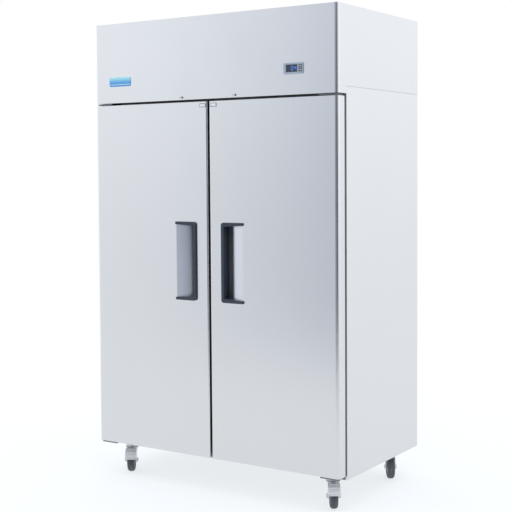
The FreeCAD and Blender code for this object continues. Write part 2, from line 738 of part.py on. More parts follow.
def refrigerant_pipes():
    """Suction, discharge and liquid lines, the last with its dryer."""
    base = number("BodyTop")

    def line(points, radius, bend):
        """A pipe through points whose heights are above the deck."""
        return sweep([Vector(x, y, base + z) for x, y, z in points], radius, bend)

    suction = line([(330, 190, 0), (330, 190, 70), (450, 190, 70), (450, 90, 70), (415, 90, 70)],
                   6, 22)
    discharge = line([(245, 90, 60), (200, 90, 60), (200, -202, 60), (200, -202, 206),
                      (-10, -202, 206)], 5, 24)
    liquid = line([(-10, -202, 34), (60, -202, 34), (60, 150, 34), (60, 150, 0)], 4, 20)
    dryer = Part.makeCylinder(11, 90, Vector(60, -60, base + 34), Vector(0, 1, 0))
    dryer = dryer.makeFillet(6, [edge for edge in dryer.Edges if len(edge.Vertexes) == 1])
    tubes = Part.makeCompound([suction, discharge, liquid.fuse(dryer)])
    return node(shaped("refrigerant_pipes", tubes))


def electrical_box():
    """Closed box for the terminals, behind the fascia."""
    tall = 110
    box = new_body("electrical_box", ("470", "-250", "BodyTop"))
    outline = new_sketch(box, "XY_Plane")
    rectangle(outline, ("-85", "85"), ("-50", "50"))
    pad(box, outline, f"{tall}")
    rounded(box, "6", lambda edge: along(edge, "Z"))
    rounded(box, "3", lambda edge: at_height(edge, tall))
    return node(box)


# ---------------------------------------------------------------- doors

def hinge_brackets():
    """Plates above and below the doors, each with its pin."""
    brackets = []
    for side in (-1, 1):
        across = mirrored(side, f"{HINGE_X} - 66", f"{HINGE_X} + 12")
        reach = (f"{HINGE_Y} - 14", BODY_FRONT)
        leg = (f"{BODY_FRONT} - 3", BODY_FRONT)
        pin = (f"{side} * {HINGE_X}", HINGE_Y)
        brackets.append(fused("hinge_top", [
            block("top_plate", across, reach, ("DoorTop + 3", "DoorTop + 8")),
            block("top_leg", across, leg, ("DoorTop + 7", "FasciaBottom - 0.3")),
            rod("top_pin", (*pin, "DoorTop - PinReach"), "PinRadius", "PinReach + 4"),
        ]))
        brackets.append(fused("hinge_bottom", [
            block("bottom_plate", across, reach, ("DoorBottom - 8", "DoorBottom - 2")),
            block("bottom_leg", across, leg, ("BodyBottom + 1", "DoorBottom - 7")),
            rod("bottom_pin", (*pin, "DoorBottom - 3"), "PinRadius", "PinReach + 3"),
        ]))
    node(group("hinge_brackets", brackets))


def hinge_bushes(name, side):
    """Flanged bushes that the door turns on."""
    centre = (f"{side} * {HINGE_X}", HINGE_Y)
    bore = "PinRadius + PinClearance"
    top = fused("top_bush_body", [
        rod("top_sleeve", (*centre, "DoorTop - PinReach - 1"), "BushRadius", "PinReach + 1"),
        rod("top_flange", (*centre, "DoorTop"), "BushRadius + 2", "1.5"),
    ])
    bottom = fused("bottom_bush_body", [
        rod("bottom_sleeve", (*centre, "DoorBottom"), "BushRadius", "PinReach + 1"),
        rod("bottom_flange", (*centre, "DoorBottom - 1.7"), "BushRadius + 2", "1.7"),
    ])
    node(group(f"hinge_bushes_{name}", [
        cut("top_bush", top, rod("top_bore", (*centre, "DoorTop - PinReach - 5"), bore, "40")),
        cut("bottom_bush", bottom, rod("bottom_bore", (*centre, "DoorBottom - 5"), bore, "40")),
    ]))


def grip_outline():
    """The handle tray's outline in plan: distance from its inner edge, depth behind the door."""
    return [("0", "-GripProud"), ("GripWidth", "-GripProud"), ("GripWidth", "3"),
            ("30", "GripDepth"), ("0", "GripDepth")]


def in_plan(side, outline):
    """A handle outline moved to its place on that side's door."""
    return [(f"{side} * (GripInner + {u})", f"{FRONT} + {v}") for u, v in outline]


def rounded_grip(body, limit):
    """Round the tray's two inner corners as seen from the front."""
    inner = number("GripInner")
    rounded(body, "11", lambda edge: along(edge, "Y") and edge.Length > limit
            and abs(abs(edge.CenterOfMass.x) - inner) < 0.1)


def front_bends(body, far, near, trim):
    """Round the upright front edges: wide at the cabinet's side, tight at the meeting edge.

    far and near are the two edges' distances from the centre; trim is taken off both radii.
    """
    middle = body.Shape.BoundBox.Center.y
    for distance, radius in ((far, "BendRadius"), (near, "EdgeRadius")):
        rounded(body, f"{radius} - {trim}", lambda edge: along(edge, "Z")
                and edge.CenterOfMass.y < middle
                and abs(abs(edge.CenterOfMass.x) - distance) < 0.1)


def door_skin(name, side):
    """Folded stainless pan with the handle's cut-out and the hinge holes."""
    body = new_body(f"door_skin_{name}", ("0", "0", "DoorBottom"))
    outline = new_sketch(body, "XY_Plane")
    rectangle(outline, mirrored(side, "CentreGap / 2", SIDE), (FRONT, DOOR_REAR))
    pad(body, outline, "DoorTop - DoorBottom")
    front_bends(body, number("CabinetWidth") / 2, number("CentreGap") / 2, "0")
    rear = body.Shape.BoundBox.YMax - 0.1
    hollowed(body, "SkinThick", lambda face: face.BoundBox.YMin > rear)
    window = new_sketch(body, "XZ_Plane", f"-{FRONT} - 2")
    low = "GripMiddle - DoorBottom - GripTall / 2"
    rectangle(window, mirrored(side, "GripInner", "GripInner + GripWidth"),
              (low, f"{low} + GripTall"))
    pocket(body, window, "10", True)
    rounded_grip(body, 0.5)
    holes = new_sketch(body, "XY_Plane", "-1")
    circle(holes, (f"{side} * {HINGE_X}", HINGE_Y), "BushRadius")
    pocket(body, holes, "2000", True)
    return node(body)


def door_core(name, side):
    """Foam slab inside the skin, recessed for the handle tray and bored for the bushes."""
    body = new_body(f"door_core_{name}", ("0", "0", "DoorBottom + SkinThick"))
    outline = new_sketch(body, "XY_Plane")
    rectangle(outline, mirrored(side, "CentreGap / 2 + SkinThick", f"{SIDE} - SkinThick"),
              (f"{FRONT} + SkinThick", f"{DOOR_REAR} - SheetThick"))
    pad(body, outline, "DoorTop - DoorBottom - 2 * SkinThick")
    skin = number("SkinThick")
    front_bends(body, number("CabinetWidth") / 2 - skin, number("CentreGap") / 2 + skin,
                "SkinThick")
    recess = new_sketch(body, "XY_Plane", "GripMiddle - DoorBottom - SkinThick - GripTall / 2")
    polygon(recess, in_plan(side, grip_outline()))
    pocket(body, recess, "GripTall", True)
    for low in ("-5", "DoorTop - DoorBottom - PinReach - 2"):
        bore = new_sketch(body, "XY_Plane", low)
        circle(bore, (f"{side} * {HINGE_X}", HINGE_Y), "BushRadius")
        pocket(body, bore, "PinReach + 5", True)
    return node(body)


def door_liner(name, side):
    """Moulded inner panel, raised inside the gasket."""
    body = new_body(f"door_liner_{name}", ("0", DOOR_REAR, "0"))
    flat = new_sketch(body, "XZ_Plane")
    rectangle(flat, mirrored(side, "CentreGap / 2 + SkinThick", f"{SIDE} - SkinThick"),
              ("DoorBottom + SkinThick", "DoorTop - SkinThick"))
    pad(body, flat, "SheetThick")
    raised = new_sketch(body, "XZ_Plane")
    rectangle(raised, mirrored(side, "CentreGap / 2 + GasketInset + GasketWidth + 4", "548"),
              ("DoorBottom + 34", "DoorTop - 34"))
    pad(body, raised, "12", True)
    rounded(body, "20", lambda edge: along(edge, "Y") and edge.Length > 10)
    rounded(body, "8", lambda edge: edge.BoundBox.YLength < 1e-6 and edge.BoundBox.YMin > 11)
    return node(body)


def door_gasket(name, side):
    """Magnetic seal, a closed ring on the liner's flat edge."""
    body = new_body(f"door_gasket_{name}", ("0", DOOR_REAR, "0"))
    near = "CentreGap / 2 + GasketInset"
    far = f"{SIDE} - ReturnWidth + 1"
    outline = new_sketch(body, "XZ_Plane")
    rectangle(outline, mirrored(side, near, far), ("DoorBottom + 6", "DoorTop - 6"))
    rectangle(outline, mirrored(side, f"{near} + GasketWidth", f"{far} - GasketWidth"),
              ("DoorBottom + 6 + GasketWidth", "DoorTop - 6 - GasketWidth"))
    pad(body, outline, "GasketGap - 0.3", True)
    return node(body)


def scoop_curve(side, depth):
    """The scoop's slope in plan, from the tip in to the pocket, that much behind the surface."""
    floor = number("GripDepth") - 3
    slope = [(number("GripWidth"), 0), (80, 3.2), (60, 7.2), (45, 12.5), (34, 21), (26, floor)]
    curve = Part.BSplineCurve()
    curve.interpolate([in_grip(side, u, v + depth) for u, v in slope])
    return curve.toShape()


def in_grip(side, u, v):
    """A point of the handle's plan: distance from its inner edge, depth behind the door."""
    front = number("CabinetDepth") / -2 + number("GripProud") / 2
    return Vector(side * (number("GripInner") + u), front + v, 0)


def in_plan_face(side, curves, corners):
    """A face bounded by the curves and by straight runs through the corners."""
    ring = Part.makePolygon([in_grip(side, u, v) for u, v in corners])
    return Part.Face(Part.Wire(Part.sortEdges(curves + ring.Edges)[0]))


def door_handle(name, side):
    """Recessed grip: a dark moulded tray, open towards the hinge, and its steel scoop."""
    tray = new_body(f"handle_tray_{name}", ("0", "0", "GripMiddle - GripTall / 2"))
    plan = new_sketch(tray, "XY_Plane")
    polygon(plan, in_plan(side, grip_outline()))
    pad(tray, plan, "GripTall")
    rounded_grip(tray, 20)
    lip = number("LipWidth")
    wide = number("GripWidth")
    floor = number("GripDepth") - 2
    ahead = -number("GripProud") - 1
    hollow = in_plan_face(side, [scoop_curve(side, 1)], [
        (26, floor), (5, floor), (5, 8), (lip, 8), (lip, ahead), (wide + 1, ahead), (wide + 1, 1),
        (wide, 1)])
    window = grip_window(side)
    cavity = shaped("grip_cavity", hollow.extrude(Vector(0, 0, 2000)).common(window))
    node(cut(f"door_handle_{name}", tray, cavity))
    bend = 26
    start = 8
    back = Part.makePolygon([in_grip(side, u, v) for u, v in (
        (bend, floor), (start, floor), (start, floor - 1), (bend, floor - 1))])
    tip = Part.makePolygon([in_grip(side, wide, 0), in_grip(side, wide, 1)])
    edges = [scoop_curve(side, 0), scoop_curve(side, 1)] + back.Edges + tip.Edges
    scoop = Part.Face(Part.Wire(Part.sortEdges(edges)[0])).extrude(Vector(0, 0, 2000))
    node(shaped(f"handle_scoop_{name}", scoop.common(window)))


def grip_window(side):
    """The space between the tray's arms, which taper towards their tips."""
    half = number("GripTall") / 2
    arm = half - number("ArmThick")
    tip = half - number("ArmTip")
    lip = number("LipWidth")
    reach = number("GripWidth") + 5
    inner = number("GripInner")
    middle = number("GripMiddle")
    outline = [(0, -arm), (lip, -arm), (reach, -tip), (reach, tip), (lip, arm), (0, arm), (0, -arm)]
    ring = Part.makePolygon([Vector(side * (inner + u), -400, middle + w) for u, w in outline])
    return Part.Face(ring).extrude(Vector(0, 200, 0))


def corner_tab(name, side):
    """Small plastic plate on the door's upper inner corner."""
    body = new_body(f"corner_tab_{name}", ("0", FRONT, "0"))
    outline = new_sketch(body, "XZ_Plane")
    rectangle(outline, mirrored(side, "12", "42"), ("DoorTop - 23", "DoorTop - 7"))
    pad(body, outline, "1.6")
    rounded(body, "2", lambda edge: along(edge, "Y"))
    return node(body)


# ---------------------------------------------------------------- castors

def castor_plates():
    """Mounting plates and raceways under the base."""
    plates = []
    for _, side, place in CORNERS:
        centre = (f"{side} * CastorSpread", place)
        plates.append(fused("castor_plate", [
            block("plate", (f"{centre[0]} - 46", f"{centre[0]} + 46"),
                  (f"{place} - 38", f"{place} + 38"), ("BodyBottom - 3", "BodyBottom")),
            rod("raceway", (*centre, "BodyBottom - 20.6"), "27", "18"),
        ]))
    node(group("castor_plates", plates))


def castor_body(label, side, place):
    """A body in a castor's own frame: swivel axis at the origin, wheel trailing to -Y."""
    turn = Rotation(Vector(0, 0, 1), number("CastorTurn"))
    body = new_body(label, (f"{side} * CastorSpread", place, "0"), turn)
    body.setExpression(".Placement.Rotation.Angle", bound("CastorTurn"))
    return body


def castor_fork(name, side, place, bolt):
    """Pressed fork with its axle; bolt is how far the axle's nuts stand off the fork."""
    body = castor_body(f"castor_fork_{name}", side, place)
    crown = new_sketch(body, "XY_Plane", "BodyBottom - 24")
    polygon(crown, [("-22", "-34"), ("22", "-34"), ("29", "-8"), ("24", "22"), ("-24", "22"),
                    ("-29", "-8")])
    pad(body, crown, "3")
    rounded(body, "7", lambda edge: along(edge, "Z"))
    for left in ("-WheelWidth / 2 - 5", "WheelWidth / 2 + 2"):
        leg = new_sketch(body, "YZ_Plane", left)
        polygon(leg, [("14", "BodyBottom - 22"), ("14", "BodyBottom - 34"), ("-CastorTrail + 14", "40"),
                      ("-CastorTrail - 14", "40"), ("-CastorTrail - 14", "62"),
                      ("-32", "BodyBottom - 22")])
        pad(body, leg, "3")
    rounded(body, "9", lambda edge: along(edge, "X") and edge.CenterOfMass.z < 70)
    axle = new_sketch(body, "YZ_Plane", "-WheelWidth / 2 - 5")
    circle(axle, ("-CastorTrail", "WheelRadius"), "AxleRadius")
    pad(body, axle, "WheelWidth + 10")
    for sign in (-1, 1):
        stub = new_sketch(body, "YZ_Plane", f"{sign} * (WheelWidth / 2 + 4)")
        circle(stub, ("-CastorTrail", "WheelRadius"), "AxleRadius")
        pad(body, stub, f"{bolt} + 2", sign < 0)
        nut = new_sketch(body, "YZ_Plane", f"{sign} * (WheelWidth / 2 + 5 + {bolt})")
        polygon(nut, [(f"-CastorTrail + 9 * {math.cos(math.radians(60 * i)):.4f}",
                       f"WheelRadius + 9 * {math.sin(math.radians(60 * i)):.4f}") for i in range(6)])
        pad(body, nut, "5", sign < 0)
    return node(body)


def castor_wheel(name, side, place):
    """Rubber-tyred wheel with a rounded tread, dished sides and a bored hub."""
    body = castor_body(f"castor_wheel_{name}", side, place)
    disc = new_sketch(body, "YZ_Plane", "-WheelWidth / 2")
    circle(disc, ("-CastorTrail", "WheelRadius"), "WheelRadius")
    pad(body, disc, "WheelWidth")
    rounded(body, "TreadRadius", lambda edge: edge.BoundBox.XLength < 1e-6)
    for low, backwards in (("-WheelWidth / 2", True), ("WheelWidth / 2", False)):
        dish = new_sketch(body, "YZ_Plane", low)
        circle(dish, ("-CastorTrail", "WheelRadius"), "WheelRadius - 13")
        circle(dish, ("-CastorTrail", "WheelRadius"), "13")
        pocket(body, dish, "6", backwards)
    bore = new_sketch(body, "YZ_Plane", "-WheelWidth / 2 - 5")
    circle(bore, ("-CastorTrail", "WheelRadius"), "AxleRadius + PinClearance")
    pocket(body, bore, "WheelWidth + 20", True)
    return node(body)


def brake_pedal(name, side, place):
    """Ridged plate curved round the tyre, with side arms that turn on the axle."""
    inner = number("WheelRadius") + 5
    outer = inner + 2.5
    width = 47
    axle = Vector(0, -number("CastorTrail"), number("WheelRadius"))

    def polar(radius, angle):
        """A point of the castor's middle plane about the axle, from -Y upwards."""
        turn = math.radians(angle)
        return axle + Vector(0, -radius * math.cos(turn), radius * math.sin(turn))

    low = number("PedalLow")
    high = low + number("PedalAngle")
    middle = (low + high) / 2
    lip = [Vector(0, -9, -5), Vector(0, -9.8, -3)]
    foot = [polar(inner, low), polar(outer, low)]
    wire = Part.Wire([
        Part.Arc(polar(inner, high), polar(inner, middle), foot[0]).toShape(),
        Part.LineSegment(foot[0], foot[0] + lip[0]).toShape(),
        Part.LineSegment(foot[0] + lip[0], foot[1] + lip[1]).toShape(),
        Part.LineSegment(foot[1] + lip[1], foot[1]).toShape(),
        Part.Arc(foot[1], polar(outer, middle), polar(outer, high)).toShape(),
        Part.LineSegment(polar(outer, high), polar(inner, high)).toShape(),
    ])
    plate = Part.Face(wire).extrude(Vector(width, 0, 0)).translated(Vector(-width / 2, 0, 0))
    pieces = []
    for i in range(3):
        centre = polar(outer + 0.2, low + 9 + 16 * i)
        ridge = Part.makeCylinder(2.6, width - 6, centre - Vector((width - 6) / 2, 0, 0),
                                  Vector(1, 0, 0))
        pieces.append(ridge)
    for sign in (-1, 1):
        arm = [polar(inner + 1, low + 4), polar(inner + 1, high - 12), axle + Vector(0, 5, 10),
               axle + Vector(0, 10, 0), axle + Vector(0, 2, -11)]
        face = Part.Face(Part.makePolygon(arm + [arm[0]]))
        start = 21.4 if sign > 0 else -width / 2
        slab = face.extrude(Vector(width / 2 - 21.4, 0, 0)).translated(Vector(start, 0, 0))
        hole = Part.makeCylinder(number("AxleRadius") + number("PinClearance"), 80,
                                 axle - Vector(40, 0, 0), Vector(1, 0, 0))
        pieces.append(slab.cut(hole))
    pedal = plate.fuse(pieces)
    centre = Vector(side * number("CastorSpread"), number(place), 0)
    turn = Rotation(Vector(0, 0, 1), number("CastorTurn"))
    node(shaped(f"brake_pedal_{name}", pedal, Placement(centre, turn)))


# ---------------------------------------------------------------- assembly

for side_name, side_sign in SIDES:
    side_panel(side_name, side_sign)
cabinet_shell()
insulation()
liner()
door_frame()
shelf_supports()
shelves()
evaporator()
top_housing()
housing_back()
controller()
fascia_trim()
compressor()
condenser_coil()
condenser_fan()
refrigerant_pipes()
electrical_box()
hinge_brackets()
for side_name, side_sign in SIDES:
    hinge_bushes(side_name, side_sign)
    door_skin(side_name, side_sign)
    door_core(side_name, side_sign)
    door_liner(side_name, side_sign)
    door_gasket(side_name, side_sign)
    door_handle(side_name, side_sign)
    corner_tab(side_name, side_sign)
castor_plates()
for corner_name, side_sign, row_place in CORNERS:
    braked = row_place == "CastorFront"
    castor_fork(corner_name, side_sign, row_place, "3.4" if braked else "0")
    castor_wheel(corner_name, side_sign, row_place)
    if braked:
        brake_pedal(corner_name, side_sign, row_place)
doc.recompute()

for item in doc.Objects:
    if "Invalid" in item.State or "Error" in item.State:
        raise ValueError(f"{item.Label} failed: {item.State}")
for piece in nodes:
    if piece.Shape.isNull() or not piece.Shape.isValid():
        raise ValueError(f"{piece.Label} has no valid shape")

os.makedirs("parts", exist_ok=True)
for piece in nodes:
    piece.Shape.exportStep(os.path.join("parts", piece.Label + ".step"))
print(len(nodes), "nodes written")
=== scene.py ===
"""Studio scene of a two-door stainless reach-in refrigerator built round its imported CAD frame.

Every length is in metres, in the frame's own axes: +X right, +Y back, +Z up.
"""

import json
import logging
import math
from dataclasses import dataclass, field
from enum import Enum
from typing import Any, Sequence

import bmesh
import bpy
import numpy as np
from mathutils import Matrix, Vector


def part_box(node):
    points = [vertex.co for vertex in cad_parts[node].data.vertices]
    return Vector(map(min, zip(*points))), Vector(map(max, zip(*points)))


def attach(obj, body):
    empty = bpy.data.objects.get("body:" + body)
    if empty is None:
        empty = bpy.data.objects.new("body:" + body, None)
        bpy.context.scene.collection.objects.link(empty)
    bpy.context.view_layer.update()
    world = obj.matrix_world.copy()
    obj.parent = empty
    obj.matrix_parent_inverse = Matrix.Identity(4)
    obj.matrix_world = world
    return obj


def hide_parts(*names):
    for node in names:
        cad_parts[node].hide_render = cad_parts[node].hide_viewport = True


LOG = logging.getLogger("refrigerator")
Colour = tuple[float, float, float]

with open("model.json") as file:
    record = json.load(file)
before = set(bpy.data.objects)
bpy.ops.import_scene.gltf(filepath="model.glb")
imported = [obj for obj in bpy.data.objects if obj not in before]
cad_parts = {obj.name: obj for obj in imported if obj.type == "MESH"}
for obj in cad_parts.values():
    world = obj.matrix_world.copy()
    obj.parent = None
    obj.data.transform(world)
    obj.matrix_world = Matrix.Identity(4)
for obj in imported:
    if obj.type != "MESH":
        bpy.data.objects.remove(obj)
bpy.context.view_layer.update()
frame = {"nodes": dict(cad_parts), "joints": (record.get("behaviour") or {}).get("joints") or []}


class Grain(Enum):
    """Which way a brushed finish runs."""

    UPRIGHT = (520.0, 520.0, 2.2)
    LEVEL = (2.2, 2.2, 620.0)
    ROLLED = (60.0, 60.0, 9.0)


# ------------------------------------------------------------------ shader maths

class Graph:
    """One node tree that is being written."""

    def __init__(self, tree: bpy.types.NodeTree) -> None:
        """Start from an empty tree.

        Args:
            tree: the node tree of a material or of the world.
        """
        self.tree = tree
        tree.nodes.clear()

    def add(self, kind: str, settings: dict[str, Any] | None = None,
            inputs: dict[Any, Any] | None = None) -> bpy.types.Node:
        """Make any node.

        Args:
            kind: the node's type name.
            settings: its own properties, set before its sockets.
            inputs: a value, a socket or a Value for each input named or numbered.

        Returns:
            The new node.
        """
        node = self.tree.nodes.new(kind)
        for name, setting in (settings or {}).items():
            if name == "stops":
                self._stops(node.color_ramp, setting)
            else:
                setattr(node, name, setting)
        for key, value in (inputs or {}).items():
            self.feed(node.inputs[key], value)
        return node

    def feed(self, socket: bpy.types.NodeSocket, value: Any) -> None:
        """Link or set one input socket.

        Args:
            socket: the input.
            value: a Value or a socket to link, or what the input is set to.
        """
        if isinstance(value, Value):
            self.tree.links.new(value.socket, socket)
        elif isinstance(value, bpy.types.NodeSocket):
            self.tree.links.new(value, socket)
        elif isinstance(value, tuple) and socket.type == "RGBA":
            socket.default_value = (*value, 1.0)
        else:
            socket.default_value = value

    @staticmethod
    def _stops(ramp: bpy.types.ColorRamp, stops: Sequence[tuple[float, Colour]]) -> None:
        """Give a colour ramp its stops.

        Args:
            ramp: the ramp, which keeps one of its own stops until it is moved.
            stops: the place and colour of each.
        """
        while len(ramp.elements) > 1:
            ramp.elements.remove(ramp.elements[-1])
        ramp.elements[0].position = stops[0][0]
        ramp.elements[0].color = (*stops[0][1], 1.0)
        for place, colour in stops[1:]:
            ramp.elements.new(place).color = (*colour, 1.0)

    def math(self, operation: str, *values: Any, clamp: bool = False) -> "Value":
        """One Math node.

        Args:
            operation: the node's operation.
            values: numbers or Values for its inputs, in order.
            clamp: whether the result stays within 0 and 1.

        Returns:
            The node's result.
        """
        node = self.add("ShaderNodeMath", {"operation": operation, "use_clamp": clamp},
                        dict(enumerate(values)))
        return Value(self, node.outputs[0])

    def mix(self, factor: Any, first: Any, second: Any, blend: str = "MIX") -> bpy.types.NodeSocket:
        """Blend two colours.

        Args:
            factor: how much of the second shows.
            first: a colour or a colour socket.
            second: a colour or a colour socket.
            blend: the blend type.

        Returns:
            The colour that results.
        """
        node = self.add("ShaderNodeMix", {"data_type": "RGBA", "blend_type": blend},
                        {0: factor, 6: first, 7: second})
        return node.outputs[2]

    def place(self, scale: Sequence[float] = (1.0, 1.0, 1.0),
              offset: Sequence[float] = (0.0, 0.0, 0.0)) -> bpy.types.NodeSocket:
        """Object coordinates, moved and scaled.

        Args:
            scale: multiplies each axis.
            offset: is added after the scale.

        Returns:
            The vector socket.
        """
        source = self.add("ShaderNodeTexCoord").outputs["Object"]
        mapping = self.add("ShaderNodeMapping", None,
                           {"Vector": source, "Location": tuple(offset), "Scale": tuple(scale)})
        return mapping.outputs[0]

    def noise(self, scale: Sequence[float], detail: float = 3.0, rough: float = 0.55,
              offset: Sequence[float] = (0.0, 0.0, 0.0)) -> "Value":
        """Fractal noise in object space.

        Args:
            scale: features to a metre along each axis.
            detail: octaves.
            rough: how strong the fine octaves are.
            offset: moves the pattern.

        Returns:
            A value near 0 to 1.
        """
        node = self.add("ShaderNodeTexNoise", None,
                        {"Vector": self.place(scale, offset), "Scale": 1.0, "Detail": detail,
                         "Roughness": rough})
        return Value(self, node.outputs[0])

    def axes(self) -> tuple["Value", "Value", "Value"]:
        """The object coordinates, one Value for each axis."""
        node = self.add("ShaderNodeSeparateXYZ", None, {0: self.place()})
        return tuple(Value(self, output) for output in node.outputs)

    def bump(self, height: "Value", strength: float, distance: float) -> bpy.types.NodeSocket:
        """A Bump node.

        Args:
            height: what raises the surface.
            strength: how much of the relief shows.
            distance: how far a height of 1 stands out, in metres.

        Returns:
            The normal socket.
        """
        node = self.add("ShaderNodeBump", None,
                        {"Height": height, "Strength": strength, "Distance": distance})
        return node.outputs[0]


class Value:
    """A number that varies over a surface; operators on it add Math nodes."""

    def __init__(self, graph: Graph, socket: bpy.types.NodeSocket) -> None:
        """Wrap one output socket."""
        self.graph = graph
        self.socket = socket

    def __add__(self, other: Any) -> "Value":
        """self + other."""
        return self.graph.math("ADD", self, other)

    __radd__ = __add__

    def __sub__(self, other: Any) -> "Value":
        """self - other."""
        return self.graph.math("SUBTRACT", self, other)

    def __rsub__(self, other: Any) -> "Value":
        """other - self."""
        return self.graph.math("SUBTRACT", other, self)

    def __mul__(self, other: Any) -> "Value":
        """self * other."""
        return self.graph.math("MULTIPLY", self, other)

    __rmul__ = __mul__

    def __truediv__(self, other: Any) -> "Value":
        """self / other."""
        return self.graph.math("DIVIDE", self, other)

    def __rtruediv__(self, other: Any) -> "Value":
        """other / self."""
        return self.graph.math("DIVIDE", other, self)

    def __abs__(self) -> "Value":
        """The size without the sign."""
        return self.graph.math("ABSOLUTE", self)

    def above(self, edge: float, width: float) -> "Value":
        """A soft step up.

        Args:
            edge: the middle of the step.
            width: how wide the step is.

        Returns:
            0 below edge - width / 2, 1 above edge + width / 2, and smooth between.
        """
        node = self.graph.add("ShaderNodeMapRange", {"interpolation_type": "SMOOTHSTEP"},
                              {0: self, 1: edge - width / 2, 2: edge + width / 2, 3: 0.0, 4: 1.0})
        return Value(self.graph, node.outputs[0])

    def below(self, edge: float, width: float) -> "Value":
        """A soft step down, which is above() turned over."""
        return 1.0 - self.above(edge, width)


def shade(colour: Colour, factor: float) -> Colour:
    """The colour, lighter or darker."""
    return tuple(min(1.0, part * factor) for part in colour)


def toned(graph: Graph, colour: Colour, tone: Value) -> bpy.types.NodeSocket:
    """A colour whose brightness varies over the surface.

    Args:
        graph: the material's node tree.
        colour: the colour where tone is a half.
        tone: 0 for half as bright, 1 for half as bright again.

    Returns:
        The colour socket.
    """
    return graph.mix(tone, shade(colour, 0.5), shade(colour, 1.5))


# ------------------------------------------------------------------ finishes

BUILT: dict[str, bpy.types.Material] = {}


@dataclass(frozen=True)
class Finish:
    """A surface finish: a colour and a roughness that vary, with a fine relief."""

    name: str
    colour: Colour
    roughness: float = 0.5
    metallic: float = 0.0
    specular: float = 0.5
    coat: float = 0.0

    def material(self) -> bpy.types.Material:
        """Build the node material.

        Returns:
            The finished material, the same one each time.
        """
        if self.name in BUILT:
            return BUILT[self.name]
        material = bpy.data.materials.new(self.name)
        BUILT[self.name] = material
        material.use_nodes = True
        graph = Graph(material.node_tree)
        shader = graph.add("ShaderNodeBsdfPrincipled", None,
                           {"Metallic": self.metallic, "Specular IOR Level": self.specular,
                            "Coat Weight": self.coat, "Roughness": self.roughness})
        output = graph.add("ShaderNodeOutputMaterial")
        graph.tree.links.new(shader.outputs[0], output.inputs[0])
        self.dress(graph, shader)
        return material

    def dress(self, graph: Graph, shader: bpy.types.Node) -> None:
        """Drive the shader's colour, roughness and normal; each finish does it its own way.

        Args:
            graph: the material's node tree.
            shader: its Principled shader.
        """
        cloud = graph.noise((3.0, 3.0, 3.0), 2.0)
        graph.feed(shader.inputs["Base Color"],
                   graph.mix(cloud, shade(self.colour, 0.94), shade(self.colour, 1.05)))


@dataclass(frozen=True)
class BrushedSteel(Finish):
    """Stainless sheet: fine brush lines, faint clouding and handling smears."""

    metallic: float = 1.0
    roughness: float = 0.23
    grain: Grain = Grain.UPRIGHT
    streak: float = 0.032
    cloud: float = 0.02
    relief: float = 0.03
    broad_share: float = 0.28
    broad_scale: float = 0.11
    line_gloss: float = 0.09
    smear_gloss: float = 0.03
    cloud_gloss: float = 0.05
    cloud_scale: tuple[float, float, float] = (1.7, 1.7, 1.1)
    smear_scale: tuple[float, float, float] = (6.0, 6.0, 3.5)
    smear_edge: tuple[float, float] = (0.60, 0.30)
    depth: float = 0.0006

    def dress(self, graph: Graph, shader: bpy.types.Node) -> None:
        """Brush lines are noise stretched along the grain; smears are thresholded noise.

        Args:
            graph: the material's node tree.
            shader: its Principled shader.
        """
        fine = graph.noise(self.grain.value, 5.0, 0.7)
        wide = tuple(part * self.broad_scale for part in self.grain.value)
        broad = graph.noise(wide, 3.0, 0.6, (3, 7, 2))
        lines = fine * (1 - self.broad_share) + broad * self.broad_share
        cloud = graph.noise(self.cloud_scale, 3.0, 0.5, (5, 1, 4))
        smear = graph.noise(self.smear_scale, 4.0, 0.6, (1, 9, 6)).above(*self.smear_edge)
        tone = (lines - 0.5) * (2 * self.streak) + (cloud - 0.5) * (2 * self.cloud) + 0.5
        graph.feed(shader.inputs["Base Color"], toned(graph, self.colour, tone))
        graph.feed(shader.inputs["Roughness"],
                   self.roughness + (lines - 0.5) * self.line_gloss + smear * self.smear_gloss
                   + (cloud - 0.5) * self.cloud_gloss)
        graph.feed(shader.inputs["Normal"], graph.bump(lines, self.relief, self.depth))


@dataclass(frozen=True)
class ZincSheet(Finish):
    """Galvanised or zinc-plated steel: crystal spangle and dull patches."""

    metallic: float = 1.0
    roughness: float = 0.38
    spangle: float = 90.0
    contrast: float = 0.12
    patch: float = 0.16
    patch_scale: float = 9.0
    relief: float = 0.05
    depth: float = 0.001

    def dress(self, graph: Graph, shader: bpy.types.Node) -> None:
        """Each Voronoi cell is a crystal with its own brightness and gloss.

        Args:
            graph: the material's node tree.
            shader: its Principled shader.
        """
        cells = graph.add("ShaderNodeTexVoronoi", None,
                          {"Vector": graph.place(), "Scale": self.spangle})
        split = graph.add("ShaderNodeSeparateColor", None, {0: cells.outputs["Color"]})
        crystal = Value(graph, split.outputs[0])
        dull = graph.noise((self.patch_scale,) * 3, 4.0, 0.6)
        tone = 0.5 + (crystal - 0.5) * self.contrast + (dull - 0.5) * self.patch
        graph.feed(shader.inputs["Base Color"], toned(graph, self.colour, tone))
        graph.feed(shader.inputs["Roughness"],
                   self.roughness + (crystal - 0.5) * self.contrast + (dull - 0.5) * self.patch)
        graph.feed(shader.inputs["Normal"], graph.bump(dull, self.relief, self.depth))


